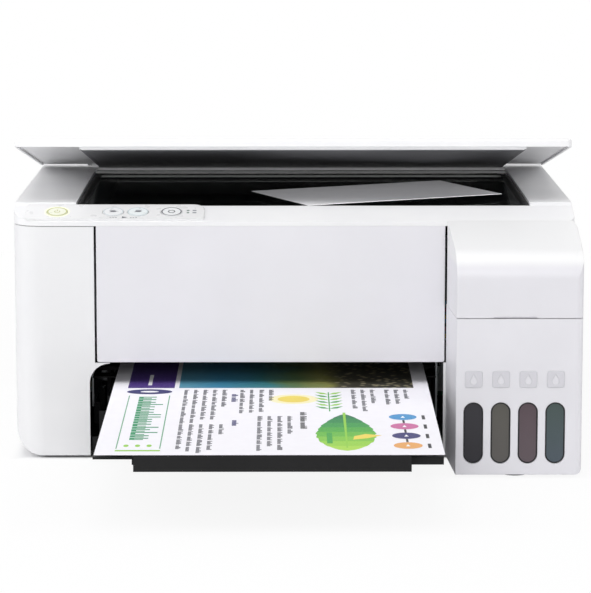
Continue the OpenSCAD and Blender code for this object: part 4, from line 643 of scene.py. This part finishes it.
class MarkSheet:
    """Gathers flat polygons, given in mm in a frame of their own, and makes one mesh of them."""

    def __init__(self, name, ground, top):
        self.name, self.ground, self.top = name, ground, top
        self.faces, self.inks = [], []

    def add(self, points, ink, lift=0.03):
        """One mark, lift mm above the ground's top."""
        if ink not in self.inks:
            self.inks.append(ink)
        self.faces.append(([(x, y, self.top + lift) for x, y in points], self.inks.index(ink)))

    def build(self, body):
        """All marks as one piece that looks up and rides on a body."""
        work = bmesh.new()
        for points, ink_number in self.faces:
            corners = [self.ground @ Vector((x * MM, y * MM, z * MM)) for x, y, z in points]
            face = work.faces.new([work.verts.new(corner) for corner in corners])
            face.material_index = ink_number
        bmesh.ops.recalc_face_normals(work, faces=work.faces)
        up = self.ground.to_3x3() @ Vector((0, 0, 1))
        bmesh.ops.reverse_faces(work, faces=[face for face in work.faces if face.normal.dot(up) < 0])
        piece = piece_from(work, self.name)
        for ink in self.inks:
            piece.data.materials.append(ink)
        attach(piece, body)
        print(self.name, "has", len(self.faces), "marks in", len(self.inks), "inks")


# %% [markdown]
# Outlines of marks come from a few plain shapes. A ring can't be one polygon with a hole, so it
# is cut into short quads.

# %% Outlines for marks
def bar(x, y):
    """A rectangle between two x and two y."""
    return [(x[0], y[0]), (x[1], y[0]), (x[1], y[1]), (x[0], y[1])]


def on_circle(x, y, r, angle):
    """A point at a distance and an angle, in radians, from a middle."""
    return x + r * math.cos(angle), y + r * math.sin(angle)


def oval(cx, cy, rx, ry, steps=28):
    """An ellipse as a polygon."""
    return [(cx + rx * math.cos(2 * math.pi * i / steps), cy + ry * math.sin(2 * math.pi * i / steps))
            for i in range(steps)]


def ring(sheet, x, y, r_in, r_out, ink, start=0, end=360, steps=36):
    """A ring or an arc, as short quads."""
    for i in range(steps):
        a, b = (math.radians(start + (end - start) * (i + k) / steps) for k in (0, 1))
        corners = ((r_in, a), (r_out, a), (r_out, b), (r_in, b))
        sheet.add([on_circle(x, y, r, angle) for r, angle in corners], ink)


# %% [markdown]
# ## Marks on the buttons
#
# Each button has a thin ring and a plain sign: a stroke and a circle for power, a leaf of paper
# for a copy in grey or in colour, a ring for stop. The ring of the power button is lit. Round it,
# a faint yellow-green glow is painted on the plate: painted light, for the light the ring throws
# there. The marks ride on their own buttons, so they go down when a button is pressed.

# %% Inks and places of the button marks
grey_mark = ink_colour("grey_pad_print", "#8d9096", 0.5)
dark_mark = ink_colour("dark_pad_print", "#63656b", 0.5)
pale_mark = ink_colour("pale_blue_pad_print", "#c3ced2", 0.5)
light_ring = ink_colour("lit_light_guide_ring", "#b9bc84", 0.4, glow=0.12)
painted_glow_mark = ink_colour("painted_glow_on_the_plate", "#f6f8dc", 0.5, glow=0.12)
plate_top, button_top = 1.22, 1.5
button_y = 13.4


def button_x(name):
    """Middle of a button along the band, in mm."""
    low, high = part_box(name)
    return (band_frame.inverted() @ ((low + high) / 2)).x / MM


# %% Draw the button marks
marks = MarkSheet("power_button_marks", band_frame, button_top)
x, y = button_x("power_button"), button_y
ring(marks, x, y, 5.9, 6.9, light_ring)
ring(marks, x, y, 1.5, 2.1, light_ring, start=130, end=410, steps=16)
marks.add(bar((x - 0.35, x + 0.35), (y + 0.6, y + 3.0)), light_ring, lift=0.05)
marks.build("power_button")

for name, side in (("mono_button", -0.4), ("colour_button", 0.4)):
    marks = MarkSheet(name + "_marks", band_frame, button_top)
    x = button_x(name)
    ring(marks, x, y, 6.1, 6.7, pale_mark)
    marks.add([(x - 2.6, y - 0.9), (x + 1.4, y - 0.9), (x + 2.8, y + 0.9), (x - 1.2, y + 0.9)], dark_mark)
    x += side
    marks.add([(x - 2.6, y + 1.2), (x + 1.2, y + 1.2), (x + 2.2, y + 2.5), (x - 1.4, y + 2.5)], grey_mark)
    marks.build(name)

marks = MarkSheet("stop_button_marks", band_frame, button_top)
x = button_x("stop_button")
ring(marks, x, y, 6.0, 6.8, dark_mark)
ring(marks, x, y, 1.7, 2.5, dark_mark, steps=20)
marks.build("stop_button")

# %% Marks beside the buttons
plate_marks = MarkSheet("plate_marks", band_frame, plate_top)
mono_x, colour_x = button_x("mono_button"), button_x("colour_button")
x = (mono_x + colour_x) / 2
plate_marks.add([(x - 2.0, 2.9), (x + 1.8, 4.4), (x - 2.0, 5.9)], dark_mark)
for x in (mono_x - 1, colour_x - 4):
    for k in range(3):
        plate_marks.add(bar((x + 1.8 * k - 1, x + 1.8 * k + 0.2), (3.6, 4.6)), grey_mark)
for y in (12, 15.6):
    plate_marks.add(bar((120, 122.6), (y - 0.9, y + 0.9)), grey_mark)
# This glowing ring on the plate is painted light.
ring(plate_marks, button_x("power_button"), button_y, 7.35, 8.6, painted_glow_mark)
plate_marks.build("scanner")

# %% [markdown]
# ## The printed page
#
# The page that comes out carries a lively layout of the kind a school handout has: a picture
# strip, columns of text, round signs, a leaf and a sun. All of it is generic, and the text is
# only bars broken into word lengths. Across is x, from the page's left edge, and back is y, from
# its front edge. The page is 0.3 mm thick and rises by a degree to the back, so its marks lie on
# top of that and rise too.

# %% Frame of the page
sheet_low, sheet_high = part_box("printed_sheet")
page_rise, page_top = math.radians(1.0), 0.3
page_frame = Matrix.Translation(sheet_low) @ Matrix.Rotation(page_rise, 4, "X")
page_size = sheet_high - sheet_low
print("page", round(page_size.x / MM), "by", round(page_size.y / MM), "mm")

# %% Inks of the page
ink_grey = ink_colour("ink_text_grey", "#56565d")
ink_black = ink_colour("ink_text_black", "#222226")
ink_navy = ink_colour("ink_navy", "#2b2a66")
ink_purple = ink_colour("ink_purple", "#43277a")
ink_pink = ink_colour("ink_pink", "#c4679a")
ink_blue = ink_colour("ink_blue", "#3f8fc6")
ink_orange = ink_colour("ink_orange", "#e0a25c")
ink_yellow = ink_colour("ink_yellow", "#e9d25a")
ink_pale = ink_colour("ink_pale_yellow", "#f3ecc0")
ink_green = ink_colour("ink_title_green", "#148a58")
ink_lime = ink_colour("ink_lime", "#8cc63c")
ink_leaf = ink_colour("ink_leaf_green", "#3a9a3c")
ink_frame = ink_colour("ink_frame_green", "#5f9e77")
ink_white = ink_colour("ink_free_white", "#f4f4f6")

# %% [markdown]
# The picture strip shows nothing in particular: water that turns into meadow and then into
# pebbles. One material makes it. A colour ramp runs across the page, and a Voronoi pattern with
# cells of 5.5 mm draws the pebbles where the ramp is dark.

# %% Picture strip
strip_print, tree, shader = new_material("printed_picture_strip", Roughness=0.55)
place = add_node(tree, "TexCoord").outputs["Object"]
x_place = add_node(tree, "SeparateXYZ", {"Vector": place}).outputs["X"]
across = add_node(tree, "MapRange", {"Value": x_place, "From Min": sheet_low.x + 44 * MM,
                                     "From Max": sheet_high.x - 10 * MM}).outputs["Result"]
wobble = add_node(tree, "TexNoise", {"Vector": place, "Scale": 1000 / 26, "Detail": 4.0}).outputs["Fac"]
bent = add_node(tree, "Math", {0: wobble, 1: 0.22, 2: across}, operation="MULTIPLY_ADD").outputs[0]
tones = add_node(tree, "ValToRGB", {"Fac": bent})
set_stops(tones.color_ramp, ((0.05, "#5d97ad"), (0.3, "#3d86a8"), (0.48, "#3c7f86"), (0.6, "#5d7a52"),
                             (0.72, "#8a8b4c"), (0.8, "#3c3a2e"), (1.0, "#2b2a24")))

# %% Pebbles of the picture strip
pebble = add_node(tree, "TexVoronoi", {"Vector": place, "Scale": 1000 / 5.5}).outputs["Distance"]
spot = add_node(tree, "MapRange", {"Value": pebble, "From Min": 0.22, "From Max": 0.42, "To Min": 0.75,
                                   "To Max": 0.0}).outputs["Result"]
shore = add_node(tree, "MapRange", {"Value": bent, "From Min": 0.66, "From Max": 0.8}).outputs["Result"]
share = add_node(tree, "Math", {0: spot, 1: shore}, operation="MULTIPLY").outputs[0]
tone = add_node(tree, "Mix", {0: share, 6: tones.outputs["Color"], 7: linear("#9d967a")}, data_type="RGBA")
feed(tree, shader, {"Base Color": tone.outputs[2]})

# %% Start the page with its picture strip
page = MarkSheet("page_print", page_frame, page_top)
page.add(bar((44, 200), (196, 288)), strip_print)
page.add(bar((10, 41), (196, 288)), ink_purple)
page.add(bar((23, 25.5), (205, 240)), ink_white, lift=0.06)


# %% [markdown]
# Text is set in columns whose lines run from front to back. A line is a row of words, and a word
# is a row of small blocks, some taller than the rest, as a designer's filler text is. Random
# lengths with a fixed seed keep the same page at every run.

# %% Set columns of text
def text_column(left, lines, back, length, ink=ink_grey, thick=2.5, *, seed):
    """Lines side by side from left on, each a row of words that starts at back and runs to the front."""
    words = random.Random(seed)
    line_pitch, letter, letter_pitch, word_gap = 6.3, 1.65, 2.05, 2.0
    for k in range(lines):
        x, y = left + k * line_pitch, back
        end = back - length * (1 if k < lines - 1 else 0.55) + words.uniform(0, 8)
        while y > end + 5:
            for _ in range(words.randint(4, 9)):
                tall = 1.25 if words.random() < 0.3 else 0.85
                page.add(bar((x, x + thick * tall), (y - letter, y)), ink)
                y -= letter_pitch
            y -= word_gap


text_column(48, 5, 190, 96, seed=3)
text_column(85, 4, 190, 74, seed=4)
text_column(48, 5, 84, 70, seed=5)
text_column(79.5, 1, 176, 58, ink_navy, 3.3, seed=6)
text_column(81, 1, 96, 40, ink_navy, 3.3, seed=11)
text_column(97, 4, 108, 96, seed=8)
text_column(124, 1, 120, 84, ink_black, 3.3, seed=7)
text_column(158, 3, 190, 66, seed=10)
text_column(180, 3, 190, 56, seed=9)

# %% Title column with its frame
for x in (12.0, 38.4):
    page.add(bar((x, x + 0.7), (16, 172)), ink_frame)
page.add(bar((12, 39.1), (9, 12.5)), ink_lime)
blocks = random.Random(12)
y = 168
while y > 44:
    size = blocks.uniform(5.5, 8.0)
    reach = 30.5 if blocks.random() < 0.7 else 35.5
    page.add(bar((19, reach), (y - 2.6, y)), ink_green)
    page.add(bar((19, 27.5), (y - size, y - size + 2.2)), ink_green)
    page.add(bar((19, 22), (y - size, y)), ink_green, lift=0.045)
    y -= size + 1.2
for k in range(3):
    page.add(oval(18 + 7 * k, 24, 1.6, 3.2), ink_lime)

# %% Sun, sprig and round signs
page.add(oval(120, 160, 16, 15), ink_pale)
page.add(oval(120, 160, 10.5, 10), ink_yellow, lift=0.06)
page.add(oval(25, 184, 15, 8), ink_navy, lift=0.05)
page.add(oval(25, 184, 6, 2.6), ink_white, lift=0.08)
for k in range(6):
    y = 130 + 9 * k
    for side in (-1, 1):
        page.add([(143, y), (143 + side * 3, y + 5), (143 + side * 9, y + 8), (143 + side * 5, y + 1)],
                 ink_lime if k % 2 else ink_leaf)
page.add(bar((142.6, 143.4), (122, 182)), ink_leaf, lift=0.06)
for k, ink in enumerate((ink_orange, ink_navy, ink_pink, ink_blue)):
    y = 24 + 27 * k
    page.add(oval(189, y, 8.8, 8.8), ink, lift=0.05)
    page.add([(187.6, y - 2.4), (190.4, y - 2.4), (189, y + 3.2)], ink_white, lift=0.08)
    page.add(bar((201, 203), (y - 7, y + 5)), ink_black)
    if k:
        page.add(bar((188.3, 189.7), (y - 18, y - 9)), ink_black)

# %% [markdown]
# The leaf is the largest motif. Its outline is a pointed oval with notches, cut into bands from
# dark to light green, as a printed gradient is.

# %% Leaf
leaf_x, leaf_front, leaf_back, leaf_w = 152, 10, 114, 19
leaf_greens = ("#a5d24a", "#93c940", "#7cbd3c", "#62b03a", "#46a03a", "#2f9040", "#1f7f42", "#177043")
leaf_inks = [ink_colour(f"ink_leaf_band_{k}", green) for k, green in enumerate(leaf_greens)]


def leaf_half_width(t):
    """Half the leaf's width at t, from 0 at its tip to 1 at its stalk, with small notches."""
    return leaf_w * math.sin(math.pi * min(1, t ** 0.8)) ** 0.75 * (1 - 0.07 * ((t * 9) % 1))


bands = 40
for k in range(bands):
    t0, t1 = k / bands, (k + 1) / bands
    w0, w1 = leaf_half_width(t0), leaf_half_width(t1 - 1e-4)
    y0, y1 = (leaf_front + t * (leaf_back - leaf_front) for t in (t0, t1))
    points = [(leaf_x - w0, y0), (leaf_x + w0, y0), (leaf_x + w1, y1), (leaf_x - w1, y1)]
    page.add(points if w0 > 0.05 else points[1:], leaf_inks[k * len(leaf_inks) // bands])
x = leaf_x
page.add([(x - 0.5, 18), (x + 0.5, 18), (x + 0.9, 118), (x - 0.9, 118)], ink_lime, lift=0.06)
page.add([(x + 4, 40), (x + 13, 44), (x + 22, 52), (x + 12, 56), (x + 5, 50)], ink_yellow, lift=0.06)
page.add(bar((x - 12, x - 8.6), (30, 60)), ink_leaf, lift=0.06)
page.build("sheet")

# %% [markdown]
# ## The light seal behind the glass
#
# Along the back of the glass runs a strip of flocked tape, black and soft, that keeps light from
# creeping in between the lid and the frame. Its black also stands for the dark shadow line behind
# the glass, so it is partly painted shade. It is a thin slab with cut corners, raised from an
# outline, and its nap is a fine noise in the bump.

# %% Lay the flocked tape
def cut_corners(x, y, cut):
    """A rectangle whose corners are cut off, counterclockwise."""
    return [(x[0] + cut, y[0]), (x[1] - cut, y[0]), (x[1], y[0] + cut), (x[1], y[1] - cut),
            (x[1] - cut, y[1]), (x[0] + cut, y[1]), (x[0], y[1] - cut), (x[0], y[0] + cut)]


def raised_outline(name, points, z):
    """A thin slab: an outline in metres, raised between two heights, with a softened upper edge."""
    work = bmesh.new()
    thick = z[1] - z[0]
    foot = work.faces.new([work.verts.new((px, py, z[0])) for px, py in points])
    top = bmesh.ops.extrude_face_region(work, geom=[foot])
    lifted = [v for v in top["geom"] if isinstance(v, bmesh.types.BMVert)]
    bmesh.ops.translate(work, verts=lifted, vec=(0, 0, thick))
    rim = [e for e in work.edges if all(v in lifted for v in e.verts)]
    bmesh.ops.bevel(work, geom=rim, offset=0.4 * thick, segments=2, affect="EDGES")
    bmesh.ops.recalc_face_normals(work, faces=work.faces)
    return piece_from(work, name)


tape_x = (glass_low.x + 1 * MM, glass_high.x - 1 * MM)
tape_y = (glass_high.y + 0.7 * MM, glass_high.y + 6.2 * MM)
tape_z = (deck_z + 0.02 * MM, deck_z + 0.4 * MM)
# The tape's black is partly painted shade, for the shadow line behind the glass.
tape = raised_outline("light_seal", cut_corners(tape_x, tape_y, 2 * MM), tape_z)
flock, tree, shader = new_material("flocked_tape_black", Roughness=0.95, Specular_IOR_Level=0.1)
place = add_node(tree, "TexCoord").outputs["Object"]
nap = add_node(tree, "TexNoise", {"Vector": place, "Scale": 1000 / 0.6, "Detail": 4.0}).outputs["Fac"]
tone = add_node(tree, "Mix", {0: nap, 6: linear("#0d0d0e"), 7: linear("#161617")}, data_type="RGBA")
bump = add_node(tree, "Bump", {"Distance": 0.1 * MM, "Height": nap})
feed(tree, shader, {"Base Color": tone.outputs[2], "Normal": bump.outputs["Normal"]})
tape.data.materials.append(flock)
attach(tape, "scanner")
print("light seal", round((tape_x[1] - tape_x[0]) / MM), "mm long")

# %% [markdown]
# ## The document mat under the lid
#
# Under the lid sits a soft mat that presses the page on the glass: foam, with a smooth film laid
# over it and welded along the edge. A box would look hard, so it is built as a cushion: outlines
# with round corners, stacked from the lid down. The rim is rounded, a weld line near it is
# pressed in by half a millimetre, and the middle is very slightly crowned. The mat is made in the
# closed lid's place, then turned with the lid about its hinge.

# %% Round outlines and stacked rings
def round_outline(x, y, r, steps=6):
    """Corners of a rectangle with round corners, counterclockwise."""
    middles = ((x[1] - r, y[1] - r), (x[0] + r, y[1] - r), (x[0] + r, y[0] + r), (x[1] - r, y[0] + r))
    return [on_circle(*middle, r, math.radians(90 * quarter + 90 * k / steps))
            for quarter, middle in enumerate(middles) for k in range(steps + 1)]


def stacked(name, layers, place):
    """A closed form out of outlines, each given as (points, z) in metres and of the same count."""
    work = bmesh.new()
    rings = [[work.verts.new(place @ Vector((px, py, z))) for px, py in points] for points, z in layers]
    for low, high in zip(rings, rings[1:]):
        for i in range(len(low)):
            j = (i + 1) % len(low)
            work.faces.new((low[i], low[j], high[j], high[i]))
    work.faces.new(rings[0][::-1])
    work.faces.new(rings[-1])
    bmesh.ops.recalc_face_normals(work, faces=work.faces)
    piece = piece_from(work, name)
    for polygon in piece.data.polygons:
        polygon.use_smooth = len(polygon.vertices) == 4
    return piece


# %% Measure the lid and the mat
_, post_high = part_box("hinge_posts")
hinge_inset, lid_open = 3.2 * MM, math.radians(9.5)
hinge = Vector((0, post_high.y - hinge_inset, post_high.z - hinge_inset))
lid_turn = Matrix.Translation(hinge) @ Matrix.Rotation(-lid_open, 4, "X") @ Matrix.Translation(-hinge)
corners = [lid_turn.inverted() @ v.co for v in nodes["lid_pad"].data.vertices]
pad_low, pad_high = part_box("lid_pad")
mat_x = (pad_low.x, pad_high.x)
mat_y, mat_z = ((min(c[axis] for c in corners), max(c[axis] for c in corners)) for axis in (1, 2))
print("mat", [round(v / MM, 1) for v in (*mat_x, *mat_y, *mat_z)])

# %% Stack the mat's outlines, each an inset in mm and a share of the thickness
insets_and_depths = ((0.2, 0.0), (0.0, 0.25), (0.0, 0.55), (0.5, 0.8), (1.6, 0.93), (3.4, 0.84), (4.4, 0.86),
                     (6.0, 0.96), (26.0, 1.0))
layers = []
for inset, down in insets_and_depths:
    i = inset * MM
    corner = max(3 * MM - i * 0.3, 1 * MM)
    outline = round_outline((mat_x[0] + i, mat_x[1] - i), (mat_y[0] + i, mat_y[1] - i), corner)
    layers.append((outline, mat_z[1] - down * (mat_z[1] - mat_z[0])))
mat = stacked("document_mat", layers, lid_turn)
print("mat stacked from", len(layers), "outlines")


# %% [markdown]
# The foam's sides are white. The film that touches the glass is painted grey: painted shade, for
# the shade under the half-open lid, as the film itself is white. Two materials share the mesh:
# faces that look down get the film.

# %% Foam edge and grey film
def soft_skin(name, colour, deep, roughness):
    """A skin over foam: its tone clouds over centimetres, and its surface waves a little."""
    material, tree, shader = new_material(name, Roughness=roughness, IOR=1.5, Specular_IOR_Level=0.3)
    place = add_node(tree, "TexCoord").outputs["Object"]
    cloud = add_node(tree, "TexNoise", {"Vector": place, "Scale": 1000 / 14, "Detail": 3.0}).outputs["Fac"]
    tone = add_node(tree, "Mix", {0: cloud, 6: linear(colour), 7: linear(deep)}, data_type="RGBA")
    wave = add_node(tree, "TexNoise", {"Vector": place, "Scale": 1000 / 35}).outputs["Fac"]
    bump = add_node(tree, "Bump", {"Distance": 0.5 * MM, "Strength": 0.5, "Height": wave})
    feed(tree, shader, {"Base Color": tone.outputs[2], "Normal": bump.outputs["Normal"]})
    return material


mat.data.materials.append(soft_skin("white_foam_edge", "#f2f2f3", "#ececee", 0.6))
# The film's grey is painted shade.
mat.data.materials.append(soft_skin("grey_film_painted_shade", "#727276", "#6a6a6e", 0.5))
for polygon in mat.data.polygons:
    polygon.material_index = 1 if polygon.normal.z < -0.9 else 0
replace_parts(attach(mat, "lid"), "lid_pad")

# %% [markdown]
# ## The waste ink pad
#
# Deep in the base a block of felt takes up the ink that the cleaning station lets go. It is a
# stack of needled layers, each a few millimetres thick, with soft edges. Flat curves make the
# layers, and their bevel makes the soft edge. The upper two have an inner loop, the hole for the
# drain.

# %% Felt
pad_low, pad_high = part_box("waste_ink_pad")
felt, tree, shader = new_material("needled_felt", Roughness=0.95, Sheen_Weight=0.3)
place = add_node(tree, "TexCoord").outputs["Object"]
fluff = add_node(tree, "TexNoise", {"Vector": place, "Scale": 1000 / 1.5, "Detail": 6.0,
                                    "Roughness": 0.7}).outputs["Fac"]
tone = add_node(tree, "Mix", {0: fluff, 6: linear("#e9e7e1"), 7: linear("#cfccc4")}, data_type="RGBA")
bump = add_node(tree, "Bump", {"Distance": 0.3 * MM, "Height": fluff})
feed(tree, shader, {"Base Color": tone.outputs[2], "Normal": bump.outputs["Normal"]})


# %% Felt layers
def felt_layer(name, z, inset, hole):
    """One layer of felt: a flat curve, thick by its extrusion, soft by its bevel, maybe with a hole."""
    curve = bpy.data.curves.new(name, "CURVE")
    curve.dimensions, curve.fill_mode = "2D", "BOTH"
    bevel = 0.5 * MM
    curve.extrude, curve.bevel_depth, curve.bevel_resolution = (z[1] - z[0]) / 2 - bevel, bevel, 2
    loops = [round_outline((pad_low.x + inset + bevel, pad_high.x - inset - bevel),
                           (pad_low.y + inset + bevel, pad_high.y - inset - bevel), 2 * MM)]
    if hole:
        loops.append(oval(135 * MM, pad_low.y + 48 * MM, 7.5 * MM, 7.5 * MM, 24)[::-1])
    for loop in loops:
        spline = curve.splines.new("POLY")
        spline.points.add(len(loop) - 1)
        for point, (px, py) in zip(spline.points, loop):
            point.co = (px, py, 0, 1)
        spline.use_cyclic_u = True
    shape = new_piece(name + "_curve", curve)
    shape.location.z = (z[0] + z[1]) / 2
    bpy.context.view_layer.update()
    mesh = bpy.data.meshes.new_from_object(shape.evaluated_get(bpy.context.evaluated_depsgraph_get()))
    mesh.transform(shape.matrix_world)
    bpy.data.objects.remove(shape)
    mesh.materials.clear()
    mesh.materials.append(felt)
    return new_piece(name, mesh)


step = (pad_high.z - pad_low.z) / 4
for k in range(4):
    z = (pad_low.z + k * step, pad_low.z + (k + 1) * step)
    layer = felt_layer(f"felt_layer_{k + 1}", z, (k % 2) * 0.4 * MM, k > 1)
    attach(layer, "base")
    if k == 0:
        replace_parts(layer, "waste_ink_pad")
print("felt layers of", round(step / MM, 1), "mm")

# %% [markdown]
# ## Floor
#
# The printer stands on a pale, dull floor that runs on to the back without a visible end. The
# camera sees it as plain white, with a tenth of the real surface mixed in near the printer, so
# that a soft shadow stays there. Right below the printer, and for light that bounces off it, the
# floor is all real.

# %% Pale floor
work, floor_reach = bmesh.new(), 12
bmesh.ops.create_grid(work, x_segments=8, y_segments=8, size=floor_reach)
floor = piece_from(work, "floor")
print("floor reaches", floor_reach, "m each way")

# %% Paint of the floor
floor_paint, tree, shader = new_material("pale_matt_floor", Roughness=0.9)
shader.inputs["Base Color"].default_value = linear("#f2f2f3")
place = add_node(tree, "TexCoord").outputs["Object"]
parts = add_node(tree, "SeparateXYZ", {"Vector": place}).outputs
middle_y, half_d = (housing_high.y + front_y) / 2, (housing_high.y - front_y) / 2
past = []
for axis, half, middle in (("X", half_w, 0.0), ("Y", half_d, middle_y)):
    off = add_node(tree, "Math", {0: parts[axis], 1: middle}, operation="SUBTRACT").outputs[0]
    size = add_node(tree, "Math", {0: off}, operation="ABSOLUTE").outputs[0]
    past.append(add_node(tree, "Math", {0: size, 1: half}, operation="SUBTRACT").outputs[0])
outward = add_node(tree, "Math", {0: past[0], 1: past[1]}, operation="MAXIMUM").outputs[0]
near = add_node(tree, "MapRange", {"Value": outward, "From Min": -0.006, "From Max": 0.004, "To Max": 0.9},
                interpolation_type="SMOOTHSTEP").outputs["Result"]
far = add_node(tree, "MapRange", {"Value": outward, "From Min": 0.1, "From Max": 0.7, "To Max": 0.1},
               interpolation_type="SMOOTHSTEP").outputs["Result"]
plain = add_node(tree, "Math", {0: near, 1: far}, operation="ADD").outputs[0]
for_camera = add_node(tree, "LightPath").outputs["Is Camera Ray"]
seen = add_node(tree, "Math", {0: plain, 1: for_camera}, operation="MULTIPLY").outputs[0]
white = add_node(tree, "Emission", {"Color": (1, 1, 1, 1), "Strength": 1.0})
both = add_node(tree, "MixShader", {0: seen, 1: shader.outputs[0], 2: white.outputs[0]})
feed(tree, tree.nodes["Material Output"], {"Surface": both.outputs[0]})
floor.data.materials.append(floor_paint)

# %% [markdown]
# ## Light
#
# A product on white wants a big, soft light from the front and above, a weaker one from the
# other side, and a bright room all round. The room's light is the world's. It is white for the
# camera and for mirror images, and dimmer where it only lights the surfaces.
#
# Little of that light gets under the open lid. So a small lamp stands low in front of the gap,
# and light linking keeps it to the glass and to the print that lies on it, as black flags round
# the lamp would do in a studio.

# %% Room light
world = bpy.data.worlds.new("bright_room")
world.use_nodes = True
bpy.context.scene.world = world
tree = world.node_tree
tree.nodes.clear()
path = add_node(tree, "LightPath").outputs
sharp = add_node(tree, "Math", {0: path["Is Camera Ray"], 1: path["Is Glossy Ray"]},
                 operation="ADD", use_clamp=True).outputs[0]
seen = add_node(tree, "Math", {0: sharp, 1: path["Is Transmission Ray"]},
                operation="ADD", use_clamp=True).outputs[0]
room = add_node(tree, "Background", {"Color": (1, 1, 1, 1), "Strength": 0.42})
blank = add_node(tree, "Background", {"Color": (1, 1, 1, 1), "Strength": 1.0})
both = add_node(tree, "MixShader", {0: seen, 1: room.outputs[0], 2: blank.outputs[0]})
add_node(tree, "OutputWorld", {"Surface": both.outputs[0]})


# %% Soft boxes
def soft_box(name, place, size, power):
    """A square area lamp that looks at the printer's middle."""
    lamp = bpy.data.lights.new(name, "AREA")
    lamp.shape, lamp.size, lamp.energy = "SQUARE", size, power
    holder = new_piece(name, lamp)
    holder.location = place
    holder.rotation_euler = (Vector((0, 0, 0.1)) - Vector(place)).to_track_quat("-Z", "Y").to_euler()
    return holder


soft_box("front_box", (-0.2, -2.2, 0.68), 0.8, 14)
soft_box("left_box", (-1.5, -0.35, 1.2), 1.0, 11.5)
soft_box("right_box", (1.5, -0.35, 1.2), 1.0, 6)
soft_box("top_box", (-0.2, -0.3, 1.9), 1.4, 11.5)
gap_box = soft_box("gap_box", (0.5, -1.5, 0.4), 0.3, 30)
under_the_lid = bpy.data.collections.new("under_the_lid")
for name in ("platen_glass", "original_print"):
    under_the_lid.objects.link(nodes[name])
gap_box.light_linking.receiver_collection = under_the_lid

# %% [markdown]
# ## Camera
#
# The camera stands almost two metres in front, a little above the lid, and looks down by
# nearly nine degrees. Its lens is long, as for a product picture, so the sides hardly converge.

# %% Camera
lens = bpy.data.cameras.new("camera")
lens.lens = 172.95
lens.sensor_width = 36
look_down, look_right = 8.869, 0.247
camera = new_piece("camera", lens)
camera.location = (-0.0068, -1.91565, 0.4033)
camera.rotation_euler = (math.radians(90 - look_down), 0, math.radians(-look_right))
bpy.context.scene.camera = camera
bpy.context.scene.view_settings.view_transform = "Standard"
print("camera", round(-camera.location.y, 2), "m in front")
